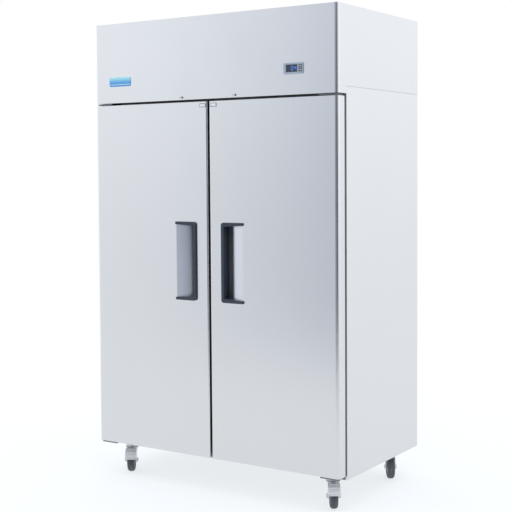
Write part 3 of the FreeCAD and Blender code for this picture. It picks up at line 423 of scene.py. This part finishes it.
@dataclass(frozen=True)
class Moulded(Finish):
    """Moulded plastic or rubber: a fine spark-eroded grain, scuffs and dust."""

    roughness: float = 0.45
    grain: float = 1400.0
    relief: float = 0.12
    dust: float = 0.06
    dust_colour: Colour = (0.55, 0.56, 0.58)
    cloud_scale: float = 11.0
    cloud_gloss: float = 0.16
    scuff_scale: tuple[float, float, float] = (75.0, 75.0, 18.0)
    scuff_edge: tuple[float, float] = (0.64, 0.1)
    scuff_gloss: float = 0.08
    dust_edge: tuple[float, float] = (0.55, 0.3)
    dust_share: float = 0.6
    depth: float = 0.0004

    def dress(self, graph: Graph, shader: bpy.types.Node) -> None:
        """The grain is fine noise; dust is broad noise that pales the colour.

        Args:
            graph: the material's node tree.
            shader: its Principled shader.
        """
        grain = graph.noise((self.grain,) * 3, 2.0)
        cloud = graph.noise((self.cloud_scale,) * 3, 4.0, 0.6)
        scuff = graph.noise(self.scuff_scale, 3.0, 0.6, (4, 2, 8)).above(*self.scuff_edge)
        base = graph.mix(cloud, shade(self.colour, 0.86), shade(self.colour, 1.12))
        dust = cloud.above(*self.dust_edge) * (self.dust * self.dust_share)
        graph.feed(shader.inputs["Base Color"],
                   graph.mix(scuff * self.dust + dust, base, self.dust_colour))
        graph.feed(shader.inputs["Roughness"],
                   self.roughness + (cloud - 0.5) * self.cloud_gloss + scuff * self.scuff_gloss)
        graph.feed(shader.inputs["Normal"], graph.bump(grain, self.relief, self.depth))


@dataclass(frozen=True)
class Tarnished(Finish):
    """Drawn copper or black enamel: patches of tarnish or soot over the base colour."""

    metallic: float = 1.0
    roughness: float = 0.3
    patch: Colour = (0.25, 0.12, 0.07)
    amount: float = 0.5
    patch_scale: float = 22.0
    patch_edge: tuple[float, float] = (0.56, 0.22)
    patch_gloss: float = 0.3
    relief: float = 0.08
    depth: float = 0.0008

    def dress(self, graph: Graph, shader: bpy.types.Node) -> None:
        """Noise of five octaves above a soft step picks the patches, which are duller.

        Args:
            graph: the material's node tree.
            shader: its Principled shader.
        """
        broad = graph.noise((self.patch_scale,) * 3, 5.0, 0.65)
        mask = broad.above(*self.patch_edge) * self.amount
        graph.feed(shader.inputs["Base Color"], graph.mix(mask, self.colour, self.patch))
        graph.feed(shader.inputs["Roughness"], self.roughness + mask * self.patch_gloss)
        graph.feed(shader.inputs["Normal"], graph.bump(broad, self.relief, self.depth))


@dataclass(frozen=True)
class Foam(Finish):
    """Rigid insulation foam: closed cells and a skin that darkens in patches."""

    roughness: float = 0.85
    cell_scale: float = 420.0
    patch_scale: float = 7.0
    relief: float = 0.4
    depth: float = 0.001

    def dress(self, graph: Graph, shader: bpy.types.Node) -> None:
        """Voronoi distance gives the cells: relief, and a darker tone towards their walls.

        Args:
            graph: the material's node tree.
            shader: its Principled shader.
        """
        cells = graph.add("ShaderNodeTexVoronoi", None,
                          {"Vector": graph.place(), "Scale": self.cell_scale})
        wall = Value(graph, cells.outputs["Distance"])
        patch = graph.noise((self.patch_scale,) * 3, 4.0)
        base = graph.mix(patch, shade(self.colour, 0.82), shade(self.colour, 1.1))
        graph.feed(shader.inputs["Base Color"], graph.mix(wall, base, shade(self.colour, 0.75)))
        graph.feed(shader.inputs["Normal"], graph.bump(wall, self.relief, self.depth))


@dataclass(frozen=True)
class NamePlate(Finish):
    """Blank lacquered name plate: light blue above, deep blue below, a thin pale line."""

    low: float = 0.0
    high: float = 1.0
    deep: Colour = (0.05, 0.27, 0.62)
    sky: Colour = (0.42, 0.88, 0.90)
    line: Colour = (0.62, 0.80, 0.95)
    line_foot: float = 0.17
    line_head: float = 0.23
    line_blur: float = 0.03

    def dress(self, graph: Graph, shader: bpy.types.Node) -> None:
        """Height over the plate drives a ramp, and a narrow band near the foot is the line.

        Args:
            graph: the material's node tree.
            shader: its Principled shader.
        """
        height = (graph.axes()[2] - self.low) / (self.high - self.low)
        ramp = graph.add("ShaderNodeValToRGB",
                         {"stops": [(0.0, self.deep), (0.45, self.colour),
                                    (1.0, self.sky)]}, {0: height})
        band = (height.above(self.line_foot, self.line_blur)
                * height.below(self.line_head, self.line_blur))
        graph.feed(shader.inputs["Base Color"],
                   graph.mix(band, ramp.outputs[0], self.line))
        speck = graph.noise((300.0, 300.0, 300.0), 2.0)
        graph.feed(shader.inputs["Roughness"], self.roughness + (speck - 0.5) * 0.08)


@dataclass(frozen=True)
class ShadowRimPlastic(Moulded):
    """Pale moulded tab with a grey rim of painted shade round its face."""

    low: tuple[float, float] = (0.0, 0.0)
    high: tuple[float, float] = (1.0, 1.0)
    # width and softness of the painted shade along the tab's edges
    rim: float = 0.0022
    rim_blur: float = 0.0008
    rim_shade_colour: Colour = (0.20, 0.21, 0.25)

    def dress(self, graph: Graph, shader: bpy.types.Node) -> None:
        """Distance to the nearest edge of the tab, whichever side it is on, makes the rim of
        painted shade.

        Args:
            graph: the material's node tree.
            shader: its Principled shader.
        """
        super().dress(graph, shader)
        x, _, z = graph.axes()
        across = abs(abs(x) - (self.low[0] + self.high[0]) / 2)
        up = abs(z - (self.low[1] + self.high[1]) / 2)
        inside = graph.math("MINIMUM", (self.high[0] - self.low[0]) / 2 - across,
                            (self.high[1] - self.low[1]) / 2 - up)
        base = shader.inputs["Base Color"].links[0].from_socket
        # painted shade: the tab's face turns grey near its edges
        graph.feed(shader.inputs["Base Color"],
                   graph.mix(inside.below(self.rim, self.rim_blur), base, self.rim_shade_colour))


@dataclass(frozen=True)
class Glowing(Finish):
    """A lit segment or lamp behind its tinted window."""

    strength: float = 1.5

    def dress(self, graph: Graph, shader: bpy.types.Node) -> None:
        """The glow is a little uneven, as through a diffuser.

        Args:
            graph: the material's node tree.
            shader: its Principled shader.
        """
        uneven = graph.noise((240.0, 240.0, 240.0), 2.0)
        glow = graph.mix(uneven, shade(self.colour, 0.8), shade(self.colour, 1.2))
        graph.feed(shader.inputs["Base Color"], glow)
        graph.feed(shader.inputs["Emission Color"], glow)
        graph.feed(shader.inputs["Emission Strength"], self.strength)


@dataclass(frozen=True)
class PaleFloor(Finish):
    """Matt pale studio floor with a faint glow, so that it keeps its paleness under the cabinet."""

    specular: float = 0.1
    glow: float = 3.0

    def dress(self, graph: Graph, shader: bpy.types.Node) -> None:
        """The colour drifts by a hundredth over metres.

        Args:
            graph: the material's node tree.
            shader: its Principled shader.
        """
        drift = graph.noise((0.4, 0.4, 0.4), 1.0)
        tone = graph.mix(drift, shade(self.colour, 0.99), shade(self.colour, 1.01))
        graph.feed(shader.inputs["Base Color"], tone)
        graph.feed(shader.inputs["Emission Color"], tone)
        graph.feed(shader.inputs["Emission Strength"], self.glow)


FLOOR = PaleFloor("pale_floor", (0.232, 0.238, 0.244), 0.9)
STEEL = (0.735, 0.755, 0.790)
DOOR_STEEL = BrushedSteel("door_stainless", STEEL, grain=Grain.UPRIGHT)
# painted light: the sides' stainless is made paler than the doors' for the brighter light they
# catch
SIDE_STEEL_LIT = BrushedSteel("side_stainless_painted_light", (0.80, 0.815, 0.835), 0.34, grain=Grain.UPRIGHT)
HOUSING_STEEL = BrushedSteel("housing_stainless", STEEL, grain=Grain.LEVEL)
# painted shade: the scoop is the door's stainless made darker for the shade in its recess
SCOOP_STEEL_SHADED = BrushedSteel("scoop_stainless_painted_shade", (0.60, 0.62, 0.66), 0.36, streak=0.09)
LINER_STEEL = BrushedSteel("liner_stainless", (0.66, 0.67, 0.69), 0.33, grain=Grain.LEVEL)
GALVANISED = ZincSheet("galvanised_sheet", (0.60, 0.62, 0.64))
BRIGHT_ZINC = ZincSheet("bright_zinc", (0.76, 0.82, 0.88), 0.3, 0.45, spangle=260.0,
                        contrast=0.03)
# painted light: the pedals' zinc is near white and bluish, paler than the castors' other zinc
PEDAL_ZINC_LIT = ZincSheet("pedal_zinc_painted_light", (0.92, 0.96, 1.0), 0.30, 0.0, spangle=260.0,
                       contrast=0.02, patch=0.05)
FOAM = Foam("insulation_foam", (0.84, 0.74, 0.47))
SLATE = Moulded("slate_plastic", (0.030, 0.040, 0.056), 0.46, specular=0.35, dust=0.03)
GREY = Moulded("grey_plastic", (0.34, 0.36, 0.39), 0.5)
LINER_PLASTIC = Moulded("liner_plastic", (0.50, 0.52, 0.55), 0.4, dust=0.04)
WHITE = Moulded("white_plastic", (0.82, 0.83, 0.85), 0.35, dust=0.02)
BLACK = Moulded("black_plastic", (0.012, 0.013, 0.015), 0.4)
SILVER = Moulded("silver_plastic", (0.36, 0.43, 0.52), 0.3, dust=0.02)
GASKET = Moulded("gasket_rubber", (0.020, 0.023, 0.030), 0.6, grain=700.0)
TYRE = Moulded("tyre_rubber", (0.055, 0.056, 0.070), 0.62, grain=500.0, relief=0.3, dust=0.12)
WIRE = Moulded("coated_wire", (0.72, 0.73, 0.74), 0.3, dust=0.03)
COPPER = Tarnished("drawn_copper", (0.78, 0.38, 0.24))
ENAMEL = Tarnished("black_enamel", (0.012, 0.012, 0.014), 0.34, 0.0,
                   patch=(0.06, 0.055, 0.05), amount=0.5)
ALUMINIUM = BrushedSteel("aluminium_fin", (0.72, 0.73, 0.74), 0.32, grain=Grain.ROLLED)
DIGITS = Glowing("display_digits", (0.05, 0.22, 0.80), 0.3, strength=1.0)
DARK_ZINC = ZincSheet("dull_zinc", (0.20, 0.21, 0.23), 0.45, spangle=200.0, contrast=0.08)
GLASS = Moulded("display_window", (0.030, 0.036, 0.055), 0.10, relief=0.0, dust=0.0)


def dress(finish: Finish, *names: str) -> None:
    """Give CAD nodes a finish.

    Args:
        finish: the finish to build once and share.
        names: the nodes that wear it.
    """
    material = finish.material()
    for name in names:
        mesh = frame["nodes"][name].data
        mesh.materials.clear()
        mesh.materials.append(material)


# ------------------------------------------------------------------ studio

@dataclass
class Studio:
    """Camera, soft light and a plain pale floor."""

    spot: tuple[float, float, float] = (2.6192, -3.9933, 1.3336)
    turn: float = 33.24
    tilt: float = 2.95
    roll: float = -0.39
    lens: float = 77.68
    shift: float = -0.0609
    sensor: float = 36.0
    floor_size: float = 7.0
    level: float = 1.60
    lift: float = 0.16
    sky: float = 0.79
    sky_edge: tuple[float, float] = (0.35, 0.60)
    horizon: tuple[float, float] = (0.02, 0.20)
    lamp_spot: tuple[float, float, float] = (0.0, -0.3, 4.2)
    lamp_size: float = 5.0
    lamp_watts: float = 40.0
    tint: Colour = (0.93, 0.96, 1.0)
    room: tuple[tuple[float, float], ...] = (
        (-180.0, 0.79), (-110.0, 0.79), (-90.0, 1.0), (-62.0, 1.0), (-48.0, 0.79),
        (-37.0, 0.79), (-31.0, 0.64), (-24.0, 0.35), (-16.0, 0.27), (0.0, 0.25), (18.0, 0.17),
        (28.0, 0.08), (64.0, 0.07), (72.0, 0.90), (84.0, 0.70), (106.0, 0.70), (120.0, 1.0),
        (132.0, 1.0), (146.0, 0.79), (180.0, 0.79))

    def build(self) -> None:
        """Set everything that isn't the refrigerator."""
        scene = bpy.context.scene
        scene.view_settings.view_transform = "Standard"
        scene.view_settings.look = "None"
        self.camera()
        self.world()
        self.lamp()
        self.floor()

    def camera(self) -> None:
        """A camera at eye height on the right, looking a little down.

        Its axes are worked out from heading, tilt and roll.
        """
        data = bpy.data.cameras.new("camera")
        data.lens = self.lens
        data.sensor_width = self.sensor
        data.shift_y = self.shift
        data.clip_end = 200.0
        yaw, pitch, roll = (math.radians(a) for a in (-self.turn, self.tilt, self.roll))
        ahead = Vector((math.sin(yaw) * math.cos(pitch), math.cos(yaw) * math.cos(pitch),
                        -math.sin(pitch)))
        right = Vector((math.cos(yaw), -math.sin(yaw), 0.0))
        over = right.cross(ahead)
        across = math.cos(roll) * right + math.sin(roll) * over
        upward = -math.sin(roll) * right + math.cos(roll) * over
        matrix = Matrix((across, upward, -ahead)).transposed().to_4x4()
        matrix.translation = Vector(self.spot)
        camera = bpy.data.objects.new("camera", data)
        camera.matrix_world = matrix
        bpy.context.scene.collection.objects.link(camera)
        bpy.context.scene.camera = camera

    def world(self) -> None:
        """White seen directly; as light, a bright room with a darker sector in front.

        The heading of a direction, in turns, drives a ramp; upwards the ramp fades to full light.
        """
        world = bpy.data.worlds.new("studio")
        bpy.context.scene.world = world
        world.use_nodes = True
        graph = Graph(world.node_tree)
        heading = graph.add("ShaderNodeTexCoord").outputs["Generated"]
        split = graph.add("ShaderNodeSeparateXYZ", None, {0: heading})
        x, y, z = (Value(graph, split.outputs[i]) for i in range(3))
        turn = graph.math("ARCTAN2", x, 0.0 - y) / (2 * math.pi) + 0.5
        stops = [(degrees / 360 + 0.5, self.cooled(level)) for degrees, level in self.room]
        ramp = graph.add("ShaderNodeValToRGB", {"stops": stops}, {0: turn})
        colour = graph.mix(z.above(*self.sky_edge), ramp.outputs[0], self.cooled(self.sky))
        level = (z.above(*self.horizon) * self.lift + (1.0 - self.lift)) * self.level
        bounce = graph.add("ShaderNodeBackground", None, {"Color": colour, 1: level})
        backdrop = graph.add("ShaderNodeBackground", None, {"Color": (1.0, 1.0, 1.0), 1: 1.0})
        ray = graph.add("ShaderNodeLightPath").outputs["Is Camera Ray"]
        mixed = graph.add("ShaderNodeMixShader", None,
                          {0: ray, 1: bounce.outputs[0], 2: backdrop.outputs[0]})
        output = graph.add("ShaderNodeOutputWorld")
        graph.tree.links.new(mixed.outputs[0], output.inputs[0])

    def cooled(self, level: float) -> Colour:
        """The room's light at one level; the darker it is, the bluer.

        Args:
            level: 0 to 1.

        Returns:
            Its colour.
        """
        depth = max(0.0, 1.0 - level / self.sky)
        shift = (1.0 - 0.20 * depth, 1.0 - 0.08 * depth, 1.0 + 0.20 * depth)
        return tuple(level * part * lean for part, lean in zip(self.tint, shift))

    def lamp(self) -> None:
        """One wide soft panel overhead, aimed at the origin."""
        data = bpy.data.lights.new("overhead", "AREA")
        data.size = self.lamp_size
        data.energy = self.lamp_watts
        lamp = bpy.data.objects.new("overhead", data)
        spot = Vector(self.lamp_spot)
        turn = (-spot).to_track_quat("-Z", "Y").to_matrix().to_4x4()
        lamp.matrix_world = Matrix.Translation(spot) @ turn
        bpy.context.scene.collection.objects.link(lamp)

    def floor(self) -> None:
        """A flat pale sheet under and round the cabinet."""
        steps = np.linspace(-self.floor_size / 2, self.floor_size / 2, 5)
        x, y = np.meshgrid(steps, steps, indexing="ij")
        points = np.stack([x, y, np.zeros_like(x)], axis=-1)
        surface("floor", points, FLOOR)


# ------------------------------------------------------------------ surfaces

def surface(name: str, points: np.ndarray, finish: Finish, wrap: tuple[bool, bool] = (False, False),
            weld: float = 1e-6) -> bpy.types.Object:
    """Make one object from one or more grids of points.

    Args:
        name: the object's name.
        points: (rows, columns, 3), or (grids, rows, columns, 3) for many alike.
        finish: the finish that it wears.
        wrap: whether rows and columns close on themselves.
        weld: points nearer than this become one, which closes poles.

    Returns:
        The object, at the origin, with its normals outwards.
    """
    grids = points if points.ndim == 4 else points[None]
    count, rows, columns, _ = grids.shape
    index = np.arange(rows * columns).reshape(rows, columns)
    if wrap[0]:
        index = np.vstack([index, index[:1]])
    if wrap[1]:
        index = np.hstack([index, index[:, :1]])
    quads = np.stack([index[:-1, :-1], index[1:, :-1], index[1:, 1:], index[:-1, 1:]], axis=-1)
    quads = quads.reshape(-1, 4)[None] + (np.arange(count) * rows * columns)[:, None, None]
    mesh = bpy.data.meshes.new(name)
    mesh.from_pydata(grids.reshape(-1, 3).tolist(), [], quads.reshape(-1, 4).tolist())
    work = bmesh.new()
    work.from_mesh(mesh)
    bmesh.ops.remove_doubles(work, verts=work.verts, dist=weld)
    bmesh.ops.recalc_face_normals(work, faces=work.faces)
    work.to_mesh(mesh)
    work.free()
    mesh.shade_smooth()
    mesh.materials.append(finish.material())
    piece = bpy.data.objects.new(name, mesh)
    bpy.context.scene.collection.objects.link(piece)
    return piece


def revolved(profile: np.ndarray, centre: Vector, axis: Vector, steps: int = 72) -> np.ndarray:
    """Turn a profile about an axis.

    Args:
        profile: (n, 2), each the place along the axis and the radius.
        centre: the profile's origin.
        axis: a unit vector.
        steps: how many copies of the profile go round.

    Returns:
        The grid (steps, n, 3): centre + along * axis + radius * (cos a * side + sin a * up).
    """
    axis = np.array(axis)
    side = np.array(Vector(axis).orthogonal().normalized())
    up = np.cross(axis, side)
    angle = np.linspace(0.0, 2 * np.pi, steps, endpoint=False)[:, None, None]
    spoke = np.cos(angle) * side + np.sin(angle) * up
    return np.array(centre) + profile[None, :, :1] * axis + profile[None, :, 1:] * spoke


@dataclass
class Gasket:
    """Magnetic bellows seal round a door's liner."""

    side: str
    node: str = field(init=False)
    width: float = 0.022
    corner: float = 0.012
    swell: float = 0.40
    fold: float = 0.09
    flank: float = 3.2

    def __post_init__(self) -> None:
        """Name the CAD node that it stands for."""
        self.node = f"door_gasket_{self.side}"

    def profile(self) -> np.ndarray:
        """Section through the seal.

        Returns:
            (n, 2): across the seal and along its depth, both from 0 to 1. Round a closed loop t,
            depth is 0.5 - 0.5 cos t, and the half width is swell + fold cos(5 pi depth), so the
            section is a foot, a bellows fold and the magnet's bulb.
        """
        t = np.linspace(0.0, 2 * np.pi, 40, endpoint=False)
        depth = 0.5 - 0.5 * np.cos(t)
        swell = self.swell + self.fold * np.cos(depth * 5 * np.pi)
        edge = np.clip(np.abs(np.sin(t)) * self.flank, 0.0, 1.0)
        return np.column_stack([0.5 + np.sign(np.sin(t)) * swell * edge, depth])

    def build(self) -> list[bpy.types.Object]:
        """Sweep the section round a rectangle with small corners.

        Returns:
            The seal, riding on its door.
        """
        low, high = (np.array(corner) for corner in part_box(self.node))
        section = self.profile()
        inset = section[:, 0] * self.width
        turn = np.linspace(0.0, np.pi / 2, 7)
        path = []
        for quarter, (along, up) in enumerate(((1, 1), (0, 1), (0, 0), (1, 0))):
            angle = turn + quarter * np.pi / 2
            reach = np.maximum(self.corner - inset, 0.0)
            start = np.array([(low[0], high[0])[along], (low[2], high[2])[up]])
            inward = np.array([1 - 2 * along, 1 - 2 * up])
            pivot = start + inward * np.maximum(self.corner, inset)[:, None]
            arc = np.stack([np.cos(angle), np.sin(angle)], axis=-1)
            path.append(pivot[None] + arc[:, None] * reach[None, :, None])
        plan = np.concatenate(path)
        depth = np.broadcast_to(low[1] + section[:, 1] * (high[1] - low[1]), plan.shape[:2])
        grid = np.stack([plan[..., 0], depth, plan[..., 1]], axis=-1)
        piece = surface(f"{self.node}_bellows", grid, GASKET, (True, True))
        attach(piece, f"door_{self.side}")
        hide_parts(self.node)
        return [piece]


@dataclass
class FinPack:
    """Thin crimped fins that stand out of a coil's block, front and rear."""

    node: str
    finish: Finish
    count: int
    margin: tuple[float, float, float]
    crimp: float = 0.0006
    pitch: float = 0.012

    def build(self) -> list[bpy.types.Object]:
        """One rippled sheet for each fin.

        Returns:
            The pack: x = place + crimp * sin(2 pi y / pitch), over a grid of depth and height.
        """
        low, high = (np.array(corner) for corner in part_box(self.node))
        low = low + self.margin
        high = high - self.margin
        places = np.linspace(low[0], high[0], self.count)
        depth = np.linspace(low[1], high[1], 9)
        height = np.linspace(low[2], high[2], 3)
        x, y, z = np.meshgrid(places, depth, height, indexing="ij")
        x = x + self.crimp * np.sin((y - low[1]) * 2 * np.pi / self.pitch)
        piece = surface(f"{self.node}_fins", np.stack([x, y, z], axis=-1), self.finish)
        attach(piece, "cabinet")
        return [piece]


@dataclass
class CastorWheel:
    """Rubber tyre on a dished plastic hub, turning on the axle.

    Each section is pairs of the place along the axle and the radius.
    """

    corner: str
    radius: float = 0.050
    half: float = 0.016
    round: float = 0.0125
    groove_place: float = 0.0022
    groove_width: float = 0.0005
    groove_depth: float = 0.0007
    bead: tuple[tuple[float, float], ...] = ((0.0160, 0.0372), (0.0145, 0.0362))
    dish: tuple[tuple[float, float], ...] = (
        (0.0145, 0.0364), (0.0110, 0.0345), (0.0098, 0.0300), (0.0098, 0.0160),
        (0.0112, 0.0138), (0.0156, 0.0130), (0.0158, 0.0122), (0.0158, 0.0066))

    def tread(self) -> np.ndarray:
        """Section through the tyre from bead to bead.

        Returns:
            (n, 2): a quarter circle at each shoulder, joined by a flat band whose radius drops by
            groove_depth * exp(-((|place| - groove_place) / groove_width) squared), two grooves.
        """
        angle = np.linspace(0.0, np.pi / 2, 10)
        shoulder = np.column_stack([self.half - self.round + self.round * np.sin(angle),
                                    self.radius - self.round + self.round * np.cos(angle)])
        flat = np.linspace(-1.0, 1.0, 25) * (self.half - self.round)
        away = (np.abs(flat) - self.groove_place) / self.groove_width
        band = np.column_stack([flat, self.radius - self.groove_depth * np.exp(-away ** 2)])
        flank = np.vstack([shoulder[1:], self.bead])
        return np.vstack([flank[::-1] * (-1.0, 1.0), band, flank])

    def build(self) -> list[bpy.types.Object]:
        """Turn the tyre's and the hub's sections about the axle.

        Returns:
            The tyre and the hub, riding on the wheel.
        """
        joint = next(j for j in frame["joints"] if j["name"] == f"wheel_{self.corner}_roll")
        axis = Vector(joint["axis"]).normalized()
        low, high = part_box(f"castor_wheel_{self.corner}")
        centre = (Vector(low) + Vector(high)) / 2
        tyre = surface(f"castor_tyre_{self.corner}", revolved(self.tread(), centre, axis), TYRE,
                       (True, False))
        dish = np.array(self.dish)
        hub = surface(f"castor_hub_{self.corner}",
                      revolved(np.vstack([dish[::-1] * (-1.0, 1.0), dish]), centre, axis),
                      GREY, (True, True))
        for piece in (tyre, hub):
            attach(piece, f"wheel_{self.corner}")
        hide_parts(f"castor_wheel_{self.corner}")
        return [tyre, hub]


@dataclass
class Readout:
    """Two lit digits behind the display window."""

    node: str = "controller_display"
    shape: tuple[str, str] = ("abcdef", "bcfg")
    tall: float = 0.0150
    wide: float = 0.0080
    bar: float = 0.0018
    places: tuple[float, float] = (-0.0020, 0.0120)
    trim: float = 0.06
    point: float = 7.0
    lift: float = 0.00012
    dome: float = 0.00025

    def segment(self, start: np.ndarray, end: np.ndarray, front: float) -> np.ndarray:
        """A lozenge-ended bar between two points.

        Args:
            start: x and z of one end.
            end: x and z of the other.
            front: y of the window's face.

        Returns:
            A grid of 9 by 5 points that stands out of the window by lift + dome (1 - v squared),
            v being the place across the bar from -1 to 1.
        """
        u, v = np.meshgrid(np.linspace(self.trim, 1.0 - self.trim, 9), np.linspace(-1.0, 1.0, 5),
                           indexing="ij")
        along = end - start
        across = np.array([-along[1], along[0]]) / np.linalg.norm(along)
        taper = np.clip(np.minimum(u - self.trim, 1.0 - self.trim - u) * self.point, 0.0, 1.0)
        plane = start + u[..., None] * along + (v * taper * self.bar / 2)[..., None] * across
        depth = front - self.lift - self.dome * (1 - v ** 2) * taper
        return np.stack([plane[..., 0], depth, plane[..., 1]], axis=-1)

    def build(self) -> list[bpy.types.Object]:
        """Light the segments of each digit.

        Returns:
            The digits, riding on the cabinet.
        """
        low, high = (np.array(corner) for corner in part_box(self.node))
        middle = (low + high) / 2
        grids = []
        for place, lit in zip(self.places, self.shape):
            corner = np.array([middle[0] + place, middle[2] - self.tall / 2])
            w, h = self.wide, self.tall
            ends = {"a": ((0, h), (w, h)), "b": ((w, h / 2), (w, h)), "c": ((w, 0), (w, h / 2)),
                    "d": ((0, 0), (w, 0)), "e": ((0, 0), (0, h / 2)), "f": ((0, h / 2), (0, h)),
                    "g": ((0, h / 2), (w, h / 2))}
            grids += [self.segment(corner + ends[s][0], corner + ends[s][1], low[1]) for s in lit]
        digits = surface("display_digits", np.stack(grids), DIGITS)
        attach(digits, "cabinet")
        return [digits]


@dataclass
class KeyMark:
    """Small raised mark on a push button: a pillow whose outline is a rounded polygon."""

    key: str
    corners: int
    turn: float
    size: float = 0.0021
    bulge: float = 0.2
    lift: float = 0.0001
    dome: float = 0.0002

    def build(self) -> list[bpy.types.Object]:
        """Grid of radius and angle.

        Returns:
            The mark: its reach is size * radius * (1 + bulge cos(corners (angle - turn))), and it
            stands out of the key by lift + dome (1 - radius squared).
        """
        low, high = (np.array(corner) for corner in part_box(f"button_{self.key}"))
        radius, angle = np.meshgrid(np.linspace(0.0, 1.0, 5),
                                    np.linspace(0.0, 2 * np.pi, 36, endpoint=False), indexing="ij")
        lobes = 1 + self.bulge * np.cos(self.corners * (angle - self.turn))
        reach = self.size * radius * lobes
        x = (low[0] + high[0]) / 2 + reach * np.cos(angle)
        z = (low[2] + high[2]) / 2 + reach * np.sin(angle)
        y = low[1] - self.lift - self.dome * (1 - radius ** 2)
        mark = surface(f"key_mark_{self.key}", np.stack([x, y, z], axis=-1), WHITE, (False, True))
        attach(mark, f"key_{self.key}")
        return [mark]


def dress_frame() -> None:
    """Give every CAD node that stays its finish."""
    dress(DOOR_STEEL, "door_skin_left", "door_skin_right", "mullion")
    dress(SIDE_STEEL_LIT, "side_panel_left", "side_panel_right", "back_panel")
    dress(HOUSING_STEEL, "top_housing")
    dress(GALVANISED, "deck_panels", "housing_back", "condenser_shroud", "electrical_box")
    dress(FOAM, "foam_insulation", "door_core_left", "door_core_right")
    dress(LINER_STEEL, "inner_liner", "shelf_pilasters", "shelf_clips", "evaporator_cover")
    dress(SCOOP_STEEL_SHADED, "handle_scoop_left", "handle_scoop_right")
    dress(GREY, "face_frame")
    dress(LINER_PLASTIC, "door_liner_left", "door_liner_right")
    dress(WIRE, "wire_shelves")
    dress(ALUMINIUM, "evaporator_coil", "condenser_coil")
    dress(BLACK, "evaporator_fan", "condenser_fan", "cable_gland",
          *(f"button_{name}" for name in ("power", "set", "up", "down")))
    dress(SILVER, "controller_bezel")
    dress(GLASS, "controller_display")
    dress(DARK_ZINC, "fascia_fasteners", "hinge_brackets")
    dress(BRIGHT_ZINC, "castor_plates",
          *(name for name in frame["nodes"] if name.startswith("castor_fork")))
    dress(PEDAL_ZINC_LIT, "brake_pedal_front_left", "brake_pedal_front_right")
    dress(ENAMEL, "compressor", "condenser_fan_motor")
    dress(COPPER, "refrigerant_pipes")
    dress(WHITE, "hinge_bushes_left", "hinge_bushes_right")
    low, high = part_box("corner_tab_right")
    dress(ShadowRimPlastic("tab_plastic", WHITE.colour, 0.35, dust=0.02, low=(low[0], low[2]),
                        high=(high[0], high[2])), "corner_tab_left", "corner_tab_right")
    dress(SLATE, "door_handle_left", "door_handle_right")
    dress(GASKET, "door_gasket_left", "door_gasket_right")
    dress(TYRE, *(name for name in frame["nodes"] if name.startswith("castor_wheel")))
    low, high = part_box("badge_plate")
    dress(NamePlate("name_plate", (0.07, 0.36, 0.74), 0.16, coat=0.5, low=low[2], high=high[2]),
          "badge_plate")


def main() -> None:
    """Build the scene in order and report each piece."""
    logging.basicConfig(level=logging.INFO, format="%(message)s")
    Studio().build()
    LOG.info("studio ready")
    dress_frame()
    LOG.info("%d CAD nodes dressed", len(frame["nodes"]))
    assemblies = [Gasket(side) for side in ("left", "right")]
    assemblies += [CastorWheel(corner)
                   for corner in ("front_left", "front_right", "rear_left", "rear_right")]
    assemblies += [FinPack("condenser_coil", ALUMINIUM, 120, (0.0180, 0.0020, 0.0090)),
                   FinPack("evaporator_coil", ALUMINIUM, 110, (0.0180, -0.0030, 0.0010)),
                   Readout(),
                   KeyMark("power", 1, 0.0),
                   KeyMark("set", 4, math.pi / 4),
                   KeyMark("up", 3, math.pi / 2),
                   KeyMark("down", 3, -math.pi / 2)]
    for assembly in assemblies:
        for piece in assembly.build():
            LOG.info("%s: %d faces", piece.name, len(piece.data.polygons))


if __name__ == "__main__":
    main()
